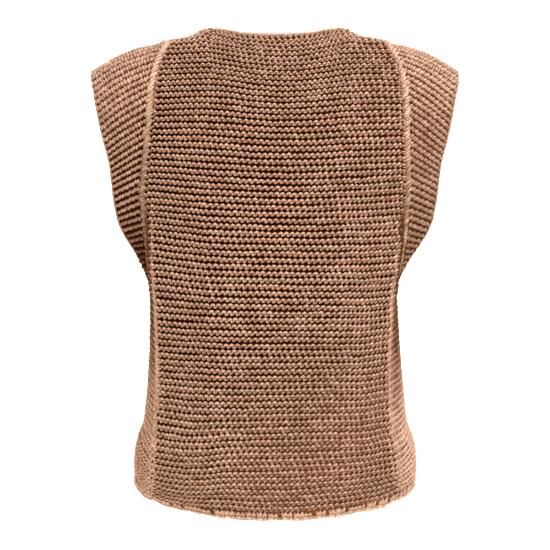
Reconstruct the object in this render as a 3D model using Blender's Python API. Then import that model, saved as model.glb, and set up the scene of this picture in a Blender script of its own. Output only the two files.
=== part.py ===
"""A knitted sweater vest, worn and hollow: a back and a front panel in chunky garter stitch,
a wide cap sewn round each armhole, and the ridged seams that join them.

Metres, +Z up. The front faces -Y. The origin is the middle of the neck, level with the
shoulder points, where the wearer's shoulders carry the vest.
"""

import bmesh
import bpy
import numpy as np

# ---- the knitting -------------------------------------------------------------------------
RIDGES = 80  # garter ridges from the hem to the shoulder seam; each is two rows of knitting
ROW_PITCH = {"row": (0, 60, 72, 80), "pitch": (0.0077, 0.0076, 0.0067, 0.0062)}
RIDGE_HEIGHT = 0.0026  # how far a crest stands over the valley beside it
HEM_RIDGE_HEIGHT = 0.0034  # the cast-on edge is a little fatter
CLOTH = 0.0030  # the wall behind the valleys
SEAM_GAP = 0.0003  # between pieces that are sewn together

# The knitting is a little uneven: which row of the body's shape each ridge starts on.
ROW_OF = {
    "ridge": (0, 1, 2, 5, 10, 20, 40, 60, 70, 76, 78, 79, 80),
    "row": (0, 0.47, 1.39, 4.24, 9.26, 19.44, 39.55, 59.03, 68.6, 74.9, 77.3, 78.6, 80),
}

# ---- the body tube ------------------------------------------------------------------------
# Its shape is given by rows, numbered like the ridges: 0 is the hem and 80 the shoulder seam.
HEM_BACK_Y = 0.078  # the middle of the back hem
HEM_BACK_Z = -0.555
HEM_FRONT_Y = -0.100  # the middle of the front hem
HEM_FRONT_Z = -0.548
# The shoulder seam runs from the neck by way of a middle point to the armhole.
SHOULDER = {"x": (0.073, 0.104), "z": (0.0185, 0.0045)}

# How far the middle of the panel leans out from upright, going up, in degrees.
BACK_LEAN = {
    "row": (0, 3, 8, 20, 34, 46, 54, 59, 63, 67, 71, 76, 80),
    "lean": (20, 14, 8, 7, 4, 0, -6, -13, -21, -30, -38, -44, -48),
}
FRONT_LEAN = {
    "row": (0, 4, 12, 24, 34, 41, 47, 54, 60, 66, 72, 80),
    "lean": (10, 5, 2, 3, 8, 6, -6, -20, -27, -30, -40, -60),
}

# Each row of knitting passes the middle, the blade, the fold and the side or armhole. A rise is
# how much higher that point lies than the middle. The last row is the shoulder seam, set above.
BACK = {
    "row": (0, 4, 10, 16, 24, 32, 40, 48, 56, 64, 70, 75, 80),
    "blade_x": (0.080, 0.080, 0.080, 0.078, 0.076, 0.075, 0.076, 0.078, 0.078, 0.077, 0.076, 0.074),
    "blade_drop": (0.008, 0.007, 0.004, 0.003, 0.002, 0.002, 0.003, 0.006, 0.011, 0.019, 0.026, 0.029),
    "blade_rise": (0.0038, 0.0030, 0.0014, 0.0006, 0.000, 0.000, 0.000, 0.001, 0.002, 0.004, 0.007, 0.008),
    "fold_x": (0.153, 0.149, 0.1445, 0.139, 0.136, 0.137, 0.142, 0.142, 0.141, 0.139, 0.134, 0.122),
    "fold_y": (0.038, 0.049, 0.061, 0.068, 0.074, 0.078, 0.076, 0.073, 0.072, 0.066, 0.052, 0.030),
    "fold_rise": (0.011, 0.009, 0.005, 0.003, 0.002, 0.002, 0.003, 0.004, 0.004, 0.006, 0.008, 0.008),
}
FRONT = {
    "row": (0, 4, 10, 16, 24, 32, 40, 48, 56, 64, 70, 75, 80),
    "blade_x": (0.080, 0.080, 0.078, 0.076, 0.075, 0.076, 0.078, 0.080, 0.079, 0.077, 0.076, 0.074),
    "blade_drop": (0.008, 0.006, 0.005, 0.004, 0.003, 0.002, 0.001, 0.002, 0.006, 0.012, 0.020, 0.018),
    "blade_rise": (0.001, 0.001, 0.001, 0.001, 0.001, 0.002, 0.003, 0.003, 0.003, 0.004, 0.005, 0.004),
    "fold_x": (0.146, 0.144, 0.141, 0.139, 0.138, 0.138, 0.140, 0.141, 0.140, 0.137, 0.132, 0.122),
    "fold_y": (0.052, 0.058, 0.064, 0.068, 0.073, 0.077, 0.078, 0.074, 0.068, 0.058, 0.046, 0.027),
    "fold_rise": (0.008, 0.007, 0.005, 0.004, 0.004, 0.006, 0.009, 0.010, 0.008, 0.007, 0.006, 0.005),
}
# Where the rows end: x at the side seam, and the rise there and along the armhole above it.
SIDE = {
    "row": (0, 4, 8, 12, 18, 24, 31, 38),
    "x": (0.1695, 0.1690, 0.1650, 0.1570, 0.1520, 0.1490, 0.1472, 0.1470),
}
ROW_END = {
    "row": (0, 4, 8, 12, 18, 24, 31, 40, 48, 56, 64, 72, 76, 80),
    "rise": (0.031, 0.027, 0.020, 0.012, 0.005, 0.001, -0.003, -0.004, 0.0, 0.002, 0.0, 0.004, 0.003),
}
# Soft swells that the hanging cloth keeps: the middle's x and row, its reach along each, how deep.
SWELLS = {
    "back": (
        {"x": 0.085, "row": 13, "reach_x": 0.045, "reach_rows": 8, "depth": 0.008},
        {"x": -0.060, "row": 22, "reach_x": 0.050, "reach_rows": 9, "depth": -0.004},
        {"x": 0.050, "row": 45, "reach_x": 0.060, "reach_rows": 7, "depth": -0.003},
    ),
    "front": (
        {"x": 0.070, "row": 20, "reach_x": 0.050, "reach_rows": 9, "depth": -0.004},
        {"x": -0.085, "row": 12, "reach_x": 0.040, "reach_rows": 8, "depth": 0.006},
    ),
}
# How many millimetres lower the back's rows hang than the tables above say, a line for each share
# of half the width. The share 0.75 holds as far as the fold or the armhole.
SAG_ROWS = (0, 2, 6, 10, 14, 18, 24, 31, 37, 43, 48, 54, 60, 66, 72, 79, 80)
SAG_SHARES = (0, 0.15, 0.30, 0.45, 0.60, 0.75)
SAG_LEFT = (
    (0, 0.0, 0.0, 0.0, 0.0, 0.0, 0.0, 0.5, 0.3, -0.4, -0.7, -0.2, -0.3, -0.3, 0.2, 0.6, 0),
    (0, 0.6, 0.2, 0.2, 0.5, 0.4, -0.2, 0.3, -0.2, -0.6, -0.9, -0.7, -1.4, -1.7, -0.8, 0.0, 0),
    (0, 0.0, 0.4, 0.8, 0.6, 0.4, 0.0, 0.2, -0.3, -0.7, -1.3, -1.3, -2.2, -3.3, -1.8, 0.1, 0),
    (0, 1.4, 4.4, 4.8, 2.8, 0.2, -0.8, -0.3, -0.9, -1.5, -1.5, -1.3, -1.7, -1.9, -1.1, 0.1, 0),
    (0, 5.0, 9.8, 9.5, 6.6, 2.4, 1.2, 1.5, -0.5, -1.4, -1.0, -1.0, -0.4, -0.3, -0.2, 0.3, 0),
    (0, 5.6, 11.8, 11.2, 7.6, 3.3, 2.5, 2.6, -0.8, -1.8, -0.9, -0.6, 1.1, 1.9, 1.2, 0.6, 0),
)
SAG_RIGHT = (
    SAG_LEFT[0],
    (0, 0.3, 0.0, 0.0, -0.2, -0.1, 0.2, 0.8, 0.6, 0.1, -0.1, 0.3, 0.0, 0.2, 1.1, 0.6, 0),
    (0, -0.4, -0.5, -0.4, -0.2, -0.1, 0.3, 1.1, 0.9, 0.5, 0.0, 0.3, 0.4, 0.1, 0.7, 0.8, 0),
    (0, -0.2, 0.1, 0.2, 0.6, 0.7, 0.7, 1.6, 1.4, 0.7, 0.2, 0.7, 0.7, 0.2, 0.9, 0.9, 0),
    (0, 1.0, 2.0, 2.3, 2.8, 3.1, 3.3, 4.5, 4.8, 3.4, 2.4, 2.2, 1.5, 0.2, 0.0, 0.7, 0),
    (0, 0.8, 1.6, 1.7, 1.9, 2.3, 2.9, 4.8, 6.2, 5.0, 3.4, 2.6, 2.1, 1.2, 0.6, 0.6, 0),
)
NECK_DROP_ROW = 67  # the lowest row of the round front neck
NECK_DIP = 0.5  # the middle of the back neck lies this many rows lower
NECK_DIP_FROM = 75
SAG_JOINS = 6  # over this many rows above the underarm the armhole's edge takes up the sag
BLADE_SHARE, FOLD_SHARE = 0.45, 0.82  # where the blade and the fold lie across half a panel
ROW_BOW = 2.3  # how flat the middle of a row is: 2 is a parabola
FOLD_ENDS_ROW, SMOOTH_FROM_ROW = 44, 54  # the side fold dies out between these two

# ---- the armhole and the cap --------------------------------------------------------------
ARMHOLE_DEPTH = {"back": 0.066, "front": 0.062}  # how far the seam swings back and forward
ARMHOLE = {
    "z": (-0.290, -0.249, -0.215, -0.183, -0.163, -0.120, -0.074, -0.052, -0.033, -0.017, 0.000),
    "x": (0.1476, 0.1485, 0.1505, 0.1530, 0.1537, 0.1510, 0.1492, 0.1470, 0.1435, 0.1390, 0.1290),
}
OPENING_DEPTH = {"back": 0.055, "front": 0.052}
OPENING = {
    "z": (-0.284, -0.262, -0.248, -0.232, -0.2195, -0.2055, -0.180, -0.141, -0.102, -0.065, -0.036),
    "x": (0.1522, 0.1576, 0.1630, 0.1715, 0.1783, 0.1835, 0.1880, 0.1921, 0.2018, 0.2098, 0.2166),
}
CAP_BULGE = 0.006  # the cap's crown over the shoulder
CAP_RIDGES = 78  # ridges round one armhole
CAP_SLANT = 0.012  # near the shoulder a ridge's outer end lies this share of the way round lower
LOW_ROUND, HIGH_ROUND = 0.64, 0.50  # 0.5 is an ellipse's round end, 1 a sharp corner
SEAM_RADIUS = 0.0032
SEAM_LIFT = 0.0006  # the seam's roll stands out from the cloth
SEAM_HALF = 0.0039  # from the seam's middle to the pieces' edges
UNDERARM_EASE = 0.0010  # more room where the seam turns tightly

# ---- how finely the solids are cut --------------------------------------------------------
PANEL_COLUMNS = (0.0, 0.2, 0.4, 0.6, 0.76, 0.87, 1.0)  # shares of half a panel's width
INNER_RIDGE_STEP = 5  # the plain inside has a row of points every few rows
CAP_COLUMNS = (0.0, 0.25, 0.5, 0.75, 1.0)
CAP_INNER_STEP = 3
SEAM_SIDES, SEAM_STEPS = 6, 56

YARN = (0.58, 0.35, 0.22, 1.0)
SEAM_YARN = (0.64, 0.40, 0.26, 1.0)


def smooth(knots, values, at):
    """A curve through the knots with no overshoot, read at every point of at."""
    x, y = np.asarray(knots, float), np.asarray(values, float)
    step, rise = np.diff(x), np.diff(y)
    slope = rise / step
    bend = np.zeros(len(x))
    same_way = slope[1:] * slope[:-1] > 0
    total = np.where(same_way, slope[1:] + slope[:-1], 1.0)
    bend[1:-1] = np.where(same_way, 2 * slope[1:] * slope[:-1] / total, 0.0)
    bend[0], bend[-1] = slope[0], slope[-1]
    at = np.clip(np.asarray(at, float), x[0], x[-1])
    i = np.clip(np.searchsorted(x, at, side="right") - 1, 0, len(step) - 1)
    t = (at - x[i]) / step[i]
    start = (1 + 2 * t) * (1 - t) ** 2 * y[i] + t * (1 - t) ** 2 * step[i] * bend[i]
    end = t * t * (3 - 2 * t) * y[i + 1] - t * t * (1 - t) * step[i] * bend[i + 1]
    return start + end


def ease(t):
    """0 to 1, level at both ends."""
    t = np.clip(t, 0.0, 1.0)
    return t * t * (3 - 2 * t)


def unit(v):
    return v / np.maximum(np.linalg.norm(v, axis=-1, keepdims=True), 1e-12)


def middle_line(side):
    """Where each quarter row of the panel's middle lies: row numbers, y and z."""
    lean, y, z, out = {
        "back": (BACK_LEAN, HEM_BACK_Y, HEM_BACK_Z, 1),
        "front": (FRONT_LEAN, HEM_FRONT_Y, HEM_FRONT_Z, -1),
    }[side]
    row = np.arange(0, RIDGES + 0.125, 0.25)
    between = row[:-1] + 0.125
    angle = np.radians(smooth(lean["row"], lean["lean"], between))
    step = smooth(ROW_PITCH["row"], ROW_PITCH["pitch"], between) * 0.25
    along_y = np.concatenate([[0], np.cumsum(out * np.sin(angle) * step)])
    along_z = np.concatenate([[0], np.cumsum(np.cos(angle) * step)])
    return row, y + along_y, z + along_z


MIDDLE = {side: middle_line(side) for side in ("back", "front")}


def loop_line(table, depth):
    """Points round an armhole on the +X side, and the turn at each.

    turn is 0 at the lowest point, 0.5 at the shoulder by way of the back, and 1 at the lowest again.
    """
    low_z, high_z = table["z"][0], table["z"][-1]
    up = 0.5 - 0.5 * np.cos(np.linspace(0, np.pi, 401))
    z = low_z + up * (high_z - low_z)
    belly = up**LOW_ROUND * (1 - up) ** HIGH_ROUND
    x = smooth(table["z"], table["x"], z)
    half = {}
    for side, sign in (("back", 1), ("front", -1)):
        points = np.stack([x, sign * depth[side] * belly / belly.max(), z], axis=-1)
        run = np.concatenate([[0], np.cumsum(np.linalg.norm(np.diff(points, axis=0), axis=1))])
        half[side] = points, run / run[-1] / 2
    turns = np.concatenate([half["back"][1], 1 - half["front"][1][-2::-1]])
    return turns, np.concatenate([half["back"][0], half["front"][0][-2::-1]])


ARMHOLE_LINE = loop_line(ARMHOLE, ARMHOLE_DEPTH)
OPENING_LINE = loop_line(OPENING, OPENING_DEPTH)


def on_loop(line, turn):
    turn = np.asarray(turn, float) % 1.0
    return np.stack([np.interp(turn, line[0], line[1][:, k]) for k in range(3)], axis=-1)


def seam_frame(turn):
    """The seam's middle, the ways along it and from it into the body's cloth, and the way out of the cloth."""
    turn = np.asarray(turn, float)
    small = 4e-3
    along = unit(on_loop(ARMHOLE_LINE, turn + small) - on_loop(ARMHOLE_LINE, turn - small))
    a = 2 * np.pi * turn
    under = np.maximum(np.cos(a), 0.0)
    into = np.stack([-(1 - under), 0.5 * np.sin(a), -under + 0.2 * (1 - under) * np.maximum(-np.cos(a), 0)], axis=-1)
    into = unit(into - (into * along).sum(-1, keepdims=True) * along)
    out = np.cross(into, along)
    toward = np.stack([np.full_like(a, 0.6), np.sin(a), -np.cos(a)], axis=-1)
    out *= np.sign((out * toward).sum(-1, keepdims=True))
    return on_loop(ARMHOLE_LINE, turn), along, into, out


def seam_half(turn):
    """From the seam's middle to the cloth's edge on either side of it, as a column."""
    return SEAM_HALF + UNDERARM_EASE * np.maximum(np.cos(2 * np.pi * np.asarray(turn)), 0)[:, None]


def panel_edge(side):
    """The panel's edge along the armhole, from the underarm to the shoulder, and the ways out of it."""
    turn = np.linspace(0.0, 0.5, 161)
    turn = turn if side == "back" else 1 - turn
    middle, _, into, out = seam_frame(turn)
    edge = middle + seam_half(turn) * into
    keep = np.maximum.accumulate(edge[:, 2]) <= edge[:, 2]
    edge = edge[keep]
    _, first = np.unique(edge[:, 2], return_index=True)
    return edge[first] * (1, np.sign(0.25 - turn[1]), 1), out[keep][first]


EDGE = {side: panel_edge(side) for side in ("back", "front")}


def row_end_z(row):
    """The height at which a row of knitting ends, at the side seam or the armhole."""
    rows, _, zs = MIDDLE["back"]
    rises = (*ROW_END["rise"], EDGE["back"][0][-1, 2] - zs[-1])
    return np.interp(row, rows, zs) + float(smooth(ROW_END["row"], rises, row))


def underarm_row():
    """The row at whose height the side seam ends."""
    low, high = 0.0, float(RIDGES)
    for _ in range(40):
        middle = (low + high) / 2
        if row_end_z(middle) < EDGE["back"][0][0, 2]:
            low = middle
        else:
            high = middle
    return low


UNDERARM_ROW = underarm_row()


def swell(side, x, row):
    """How far the soft swells push the cloth out at signed x."""
    total = np.zeros(np.broadcast(x, row).shape)
    for s in SWELLS[side]:
        far = ((x - s["x"]) / s["reach_x"]) ** 2 + ((row - s["row"]) / s["reach_rows"]) ** 2
        total = total + s["depth"] * np.exp(-far)
    return total


def sag(hand, row, shares):
    """How much lower one row of the back lies, as far as the fold; it dies out at the row's end."""
    lines = SAG_LEFT if hand > 0 else SAG_RIGHT
    read = [0.001 * float(smooth(SAG_ROWS, line, row)) for line in lines]
    beyond = np.clip((np.abs(shares) - FOLD_SHARE) / (1 - FOLD_SHARE), 0, 1)
    return smooth(SAG_SHARES, read, np.abs(shares)) * (1 - beyond)


def plain_row(side, hand, row, shares):
    """The points of one row at shares of half the panel's width. hand is 1 for +X."""
    table = BACK if side == "back" else FRONT
    out = 1 if side == "back" else -1
    rows, ys, zs = MIDDLE[side]
    y0, z0 = abs(np.interp(row, rows, ys)), np.interp(row, rows, zs)
    top = {
        "blade_x": SHOULDER["x"][0],
        "blade_drop": abs(ys[-1]) - SEAM_GAP / 2,
        "blade_rise": SHOULDER["z"][0] - zs[-1],
        "fold_x": SHOULDER["x"][1],
        "fold_y": SEAM_GAP / 2,
        "fold_rise": SHOULDER["z"][1] - zs[-1],
    }
    read = {k: float(smooth(table["row"], (*table[k], top[k]), row)) for k in top}
    # where the row ends: at the side seam, or at the armhole's edge
    edge_x, edge_y, edge_z = EDGE[side][0].T
    lift = row_end_z(row)
    if side == "back":
        lift = lift - sag(hand, row, FOLD_SHARE) * ease((row - UNDERARM_ROW) / SAG_JOINS)
    if row <= UNDERARM_ROW:
        end = (float(smooth(SIDE["row"], SIDE["x"], row)), SEAM_GAP / 2, lift)
    else:
        end = (np.interp(lift, edge_z, edge_x), max(np.interp(lift, edge_z, edge_y), SEAM_GAP / 2), lift)
    blade = (read["blade_x"], y0 - read["blade_drop"], z0 + read["blade_rise"])
    fold = (read["fold_x"], max(read["fold_y"], end[1]), z0 + read["fold_rise"])
    knots = (BLADE_SHARE, FOLD_SHARE, 1.0)
    near = np.abs(shares) / BLADE_SHARE
    run, to_fold = [], []
    for k, bow in enumerate((1, ROW_BOW, 2)):
        centre = (0, y0, z0)[k]
        round_middle = centre + (blade[k] - centre) * near**bow * (np.sign(shares) if k == 0 else 1)
        for out_to, path in ((3, run), (2, to_fold)):
            beyond = smooth(knots[:out_to], (blade[k], fold[k], end[k])[:out_to], shares)
            path.append(np.where(near < 1, round_middle, beyond))
    # below the armhole the cloth turns a corner at the fold and runs straight along the side
    t = np.clip((shares - FOLD_SHARE) / (1 - FOLD_SHARE), 0, 1)
    along_side = (fold[0] + (end[0] - fold[0]) * np.sin(t * np.pi / 2),
                  fold[1] + (end[1] - fold[1]) * t,
                  fold[2] + (end[2] - fold[2]) * t)
    creased = [np.where(shares <= FOLD_SHARE, a, b) for a, b in zip(to_fold, along_side)]
    soft = ease((row - FOLD_ENDS_ROW) / (SMOOTH_FROM_ROW - FOLD_ENDS_ROW))
    x, y, z = ((1 - soft) * a + soft * b for a, b in zip(creased, run))
    fade = np.clip((1 - shares) / 0.3, 0, 1)
    y = y + swell(side, hand * x, row) * fade
    return np.stack([hand * x, out * y, z], axis=-1)


def row_points(side, hand, row, shares):
    """The points of one row, with the back's dip at the neck and its sags."""
    points = plain_row(side, hand, row, shares)
    dip = NECK_DIP * float(ease((row - NECK_DIP_FROM) / 4))
    if side == "back" and dip > 0:
        beside = ease((shares - BLADE_SHARE / 2) / (BLADE_SHARE / 2))[:, None]
        points = plain_row(side, hand, row - dip, shares) * (1 - beside) + points * beside
    if side == "back":
        points[..., 2] -= sag(hand, row, shares)
    return points


def row_of(ridge):
    """The row on which this ridge number lies."""
    return smooth(ROW_OF["ridge"], ROW_OF["row"], ridge)


def ridge_at(row):
    """The ridge number at this row."""
    fine = np.linspace(0, RIDGES, 4001)
    return float(np.interp(row, row_of(fine), fine))


def neck_share(row):
    """The share of half the front's width that the neck opening takes at this row."""
    t = np.clip((row - NECK_DROP_ROW) / (RIDGES - NECK_DROP_ROW), 0, 1)
    return BLADE_SHARE * np.sqrt(1 - (1 - t) ** 2)


def panel_grid(side, hand, rows, columns):
    """Base points and outward normals of half a panel, a row for each row number."""
    small = 0.02
    columns = np.asarray(columns, float)

    def at(row, nudge=0.0):
        start = neck_share(row) if side == "front" else 0.0
        shares = start + (1 - start) * columns
        return row_points(side, hand, row, shares + nudge)

    points = np.array([at(r) for r in rows])
    across = np.array([at(r, small / 4) - at(r, -small / 4) for r in rows])
    shares_of = [(neck_share(r) if side == "front" else 0.0) for r in rows]
    up = []
    for r, start in zip(rows, shares_of):
        shares = start + (1 - start) * columns
        low, high = max(r - 0.3, 0), min(r + 0.3, RIDGES)
        up.append(row_points(side, hand, high, shares) - row_points(side, hand, low, shares))
    normals = unit(np.cross(across, np.array(up)))
    outward = points * np.array([1.0, 1.0, 0.0]) + np.array([0, 0, 0.02])
    normals *= np.sign((normals * outward).sum(-1, keepdims=True))
    # keep the edges that meet another piece upright over their seam, and the middle in line
    normals[np.abs(points[..., 0]) < 1e-6, 0] = 0
    normals[np.abs(points[..., 1]) < SEAM_GAP, 1] = 0
    edge, out = EDGE[side]
    for i, row in enumerate(rows):
        if row > UNDERARM_ROW:
            z = points[i, -1, 2]
            normals[i, -1] = [np.interp(z, edge[:, 2], out[:, k]) for k in range(3)]
            normals[i, -1, 0] *= hand
    return points, unit(normals)


def crest(ridge):
    """How high the knitting stands at this ridge number: 0 in a valley, full half a ridge on."""
    wave = 0.5 - 0.5 * np.cos(2 * np.pi * np.asarray(ridge, float))
    tall = np.where(np.asarray(ridge) < 1, HEM_RIDGE_HEIGHT, RIDGE_HEIGHT)
    return wave * tall


def bridge(first, second, places_first, places_second):
    """Triangles between two runs of points, taken in step with the places along them."""
    faces, i, j = [], 0, 0
    while i < len(first) - 1 or j < len(second) - 1:
        take_first = j == len(second) - 1 or (
            i < len(first) - 1 and places_first[i + 1] <= places_second[j + 1] + 1e-9
        )
        if take_first:
            faces.append((first[i], first[i + 1], second[j]))
            i += 1
        else:
            faces.append((first[i], second[j + 1], second[j]))
            j += 1
    return faces


def wall(outer, inner, outer_places, inner_places, rim_from=None):
    """Vertices and faces of a cloth wall between an outer grid and a coarser inner one.

    Rows of both grids end on the same two places. Both long edges are closed; the first one
    only from the place rim_from on, and not at all when that is None.
    """
    rows, columns = outer.shape[:2]
    points = np.concatenate([outer.reshape(-1, 3), inner.reshape(-1, 3)])
    o = np.arange(rows * columns).reshape(rows, columns)
    n = np.arange(inner.shape[0] * columns).reshape(-1, columns) + rows * columns
    faces = []
    for grid, turned in ((o, False), (n, True)):
        for i in range(grid.shape[0] - 1):
            for j in range(columns - 1):
                quad = [grid[i, j], grid[i, j + 1], grid[i + 1, j + 1], grid[i + 1, j]]
                faces.append(quad[::-1] if turned else quad)
    for j in range(columns - 1):
        faces.append((o[0, j + 1], o[0, j], n[0, j], n[0, j + 1]))
        faces.append((o[-1, j], o[-1, j + 1], n[-1, j + 1], n[-1, j]))
    faces += [f[::-1] for f in bridge(o[:, -1], n[:, -1], outer_places, inner_places)]
    if rim_from is not None:
        a = [i for i, p in enumerate(outer_places) if p >= rim_from]
        b = [i for i, p in enumerate(inner_places) if p >= rim_from]
        faces += bridge(o[a, 0], n[b, 0], np.asarray(outer_places)[a], np.asarray(inner_places)[b])
    return points, faces


def new_object(name, meshes, colour):
    """One closed object from several (points, faces), welded where they meet."""
    bm = bmesh.new()
    for points, faces in meshes:
        verts = [bm.verts.new(p) for p in points]
        for face in faces:
            bm.faces.new([verts[k] for k in face])
    bmesh.ops.remove_doubles(bm, verts=bm.verts, dist=1e-6)
    bmesh.ops.dissolve_degenerate(bm, edges=bm.edges, dist=1e-6)
    bmesh.ops.triangulate(bm, faces=bm.faces)
    bmesh.ops.recalc_face_normals(bm, faces=bm.faces)
    mesh = bpy.data.meshes.new(name)
    bm.to_mesh(mesh)
    bm.free()
    obj = bpy.data.objects.new(name, mesh)
    bpy.context.scene.collection.objects.link(obj)
    material = bpy.data.materials.new(name)
    material.use_nodes = True
    shader = material.node_tree.nodes["Principled BSDF"]
    shader.inputs["Base Color"].default_value = colour
    shader.inputs["Roughness"].default_value = 0.9
    shader.inputs["Metallic"].default_value = 0.0
    mesh.materials.append(material)
    return obj


def panel(name, side):
    """The back or the front: two halves that share the middle column, below the neck on the front."""
    neck = NECK_DROP_ROW if side == "front" else None
    front_or_back = 1 if side == "back" else -1
    extra = {UNDERARM_ROW, *([neck] if neck else [])}
    ridge_of_row = {float(row_of(r)): r for r in np.arange(0, RIDGES + 0.25, 0.5)}
    ridge_of_row |= {row: ridge_at(row) for row in extra}
    outer_rows = np.array(sorted(ridge_of_row))
    tall = crest([ridge_of_row[row] for row in outer_rows])
    near_underarm = range(int(UNDERARM_ROW) - 1, int(UNDERARM_ROW) + 12, 2)
    inner_rows = sorted({*range(0, RIDGES + 1, INNER_RIDGE_STEP), *near_underarm, *extra})
    halves = []
    for hand in (1, -1):
        points, normals = panel_grid(side, hand, outer_rows, PANEL_COLUMNS)
        outer = points + normals * tall[:, None, None]
        points, normals = panel_grid(side, hand, inner_rows, PANEL_COLUMNS)
        inner = points - normals * CLOTH
        for grid in (outer, inner):  # neither panel passes the seams that part them
            grid[..., 1] = front_or_back * np.maximum(front_or_back * grid[..., 1], SEAM_GAP / 2)
        halves.append(wall(outer, inner, outer_rows, inner_rows, neck))
    return new_object(name, halves, YARN)


def cap_grid(hand, turns, columns):
    """Base points and outward normals of a cap: a row for each turn, from the seam outwards."""
    columns = np.asarray(columns, float)

    def at(turns):
        middle, along, _, out = seam_frame(turns)
        a = 2 * np.pi * turns
        slant = 2 * CAP_SLANT * np.sin(a) * np.maximum(-np.cos(a), 0)
        edge = on_loop(OPENING_LINE, turns - slant)
        way = edge - middle
        square = unit(way - (way * along).sum(-1, keepdims=True) * along)
        start = middle + square * seam_half(turns)
        share = columns[None, :, None]
        crown = np.maximum(-np.cos(2 * np.pi * turns), 0)[:, None, None] * CAP_BULGE
        return start[:, None] * (1 - share) + edge[:, None] * share + np.sin(np.pi * share) * crown * out[:, None]

    turns = np.asarray(turns, float)
    points = at(turns)
    small = 2e-3
    round_it = at(turns + small) - at(turns - small)
    across = np.gradient(points, axis=1)
    normals = unit(np.cross(across, round_it))
    a = 2 * np.pi * turns
    away = np.stack([0 * a + 0.1, np.sin(a), -np.cos(a)], axis=-1)[:, None]
    normals *= np.sign((normals * away).sum(-1, keepdims=True))
    middle, along, _, _ = seam_frame(turns)
    beside = np.cross(points[:, 0] - middle, along)
    normals[:, 0] = unit(beside) * np.sign((beside * normals[:, 0]).sum(-1, keepdims=True))
    mirror = np.array([hand, 1, 1])
    return points * mirror, normals * mirror


def cap(name, hand):
    """A strip of garter stitch sewn round the armhole, its two ends meeting at the underarm."""
    rows = np.linspace(0, 1, CAP_RIDGES * 2 + 1)
    places = np.linspace(0, CAP_RIDGES, CAP_RIDGES * 2 + 1)
    inner_places = np.arange(0, CAP_RIDGES + 1, CAP_INNER_STEP)
    points, normals = cap_grid(hand, rows, CAP_COLUMNS)
    outer = points + normals * crest(places + 1)[:, None, None]
    inner_rows = np.interp(inner_places, places, rows)
    points, normals = cap_grid(hand, inner_rows, CAP_COLUMNS)
    inner = points - normals * CLOTH
    for grid, turns in ((outer, rows), (inner, inner_rows)):  # the two ends meet, a gap apart
        on_back = turns < 0.5
        grid[on_back, :, 1] = np.maximum(grid[on_back, :, 1], SEAM_GAP / 2)
        grid[~on_back, :, 1] = np.minimum(grid[~on_back, :, 1], -SEAM_GAP / 2)
    mesh = wall(outer, inner, places, inner_places, 0)
    return new_object(name, [mesh], YARN)


def armhole_seam(name, hand):
    """The raised roll of the armhole seam, a closed ring that lies between panel and cap."""
    turn = np.linspace(0, 1, SEAM_STEPS, endpoint=False)
    middle, _, into, out = seam_frame(turn)
    middle = middle + out * SEAM_LIFT
    angle = np.linspace(0, 2 * np.pi, SEAM_SIDES, endpoint=False)
    ring = middle[:, None] + SEAM_RADIUS * (
        np.cos(angle)[None, :, None] * into[:, None] + np.sin(angle)[None, :, None] * out[:, None]
    )
    ring = ring * np.array([hand, 1, 1])
    index = np.arange(SEAM_STEPS * SEAM_SIDES).reshape(SEAM_STEPS, SEAM_SIDES)
    after, beside = np.roll(index, -1, 0), np.roll(index, -1, 1)
    across = np.roll(after, -1, 1)
    faces = [tuple(f) for f in np.stack([index, beside, across, after], -1).reshape(-1, 4)]
    roll = new_object(name, [(ring.reshape(-1, 3), faces)], SEAM_YARN)
    roll.data.shade_smooth()
    return roll


for old in list(bpy.data.objects):
    bpy.data.objects.remove(old)

panel("back", "back")
panel("front", "front")
for word, hand in (("left", 1), ("right", -1)):
    cap(f"cap_{word}", hand)
    armhole_seam(f"armhole_seam_{word}", hand)
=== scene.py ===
"""The knitted sweater vest as it looks: every stitch of the garter ridges, the edges and the seams.

Metres, +Z up, the front faces -Y. The cloth follows the same rows as the solids.
"""

import bmesh
import bpy
import numpy as np
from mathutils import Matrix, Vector


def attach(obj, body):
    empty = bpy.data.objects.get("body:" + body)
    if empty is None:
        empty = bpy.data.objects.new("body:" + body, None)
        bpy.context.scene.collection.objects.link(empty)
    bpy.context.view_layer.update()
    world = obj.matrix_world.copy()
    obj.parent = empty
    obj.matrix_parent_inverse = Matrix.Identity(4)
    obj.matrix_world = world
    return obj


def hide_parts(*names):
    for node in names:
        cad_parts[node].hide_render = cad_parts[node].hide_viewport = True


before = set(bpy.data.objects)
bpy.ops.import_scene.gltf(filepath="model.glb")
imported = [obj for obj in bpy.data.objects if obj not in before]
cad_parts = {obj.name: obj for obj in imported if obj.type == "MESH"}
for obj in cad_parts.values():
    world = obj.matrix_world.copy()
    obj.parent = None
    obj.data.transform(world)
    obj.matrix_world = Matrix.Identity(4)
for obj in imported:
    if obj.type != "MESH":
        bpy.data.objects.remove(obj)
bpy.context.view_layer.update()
bpy.ops.object.select_all(action="DESELECT")

# ==== the back panel =========================================================================
# A panel knitted flat in chunky garter stitch, from the hem up, and sewn to the front at the sides
# and on the shoulders. It is a thin cloth, dark with painted shade, that shows only between the
# ridges, and every stitch as its own yarn. It is shaped by the wearer's shoulder blades.

# ---- the knitting -------------------------------------------------------------------------
RIDGES = 80  # garter ridges from the hem to the shoulder seam; each is two rows of knitting
SEAM_GAP = 0.0003  # between pieces that are sewn together
# How far apart the ridges lie.
ROW_PITCH = {"row": (0, 60, 72, 80), "pitch": (0.0077, 0.0076, 0.0067, 0.0062)}

# The knitting is a little uneven: which row of the body's shape each ridge starts on.
ROW_OF = {
    "ridge": (0, 1, 2, 5, 10, 20, 40, 60, 70, 76, 78, 79, 80),
    "row": (0, 0.47, 1.39, 4.24, 9.26, 19.44, 39.55, 59.03, 68.6, 74.9, 77.3, 78.6, 80),
}

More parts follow.
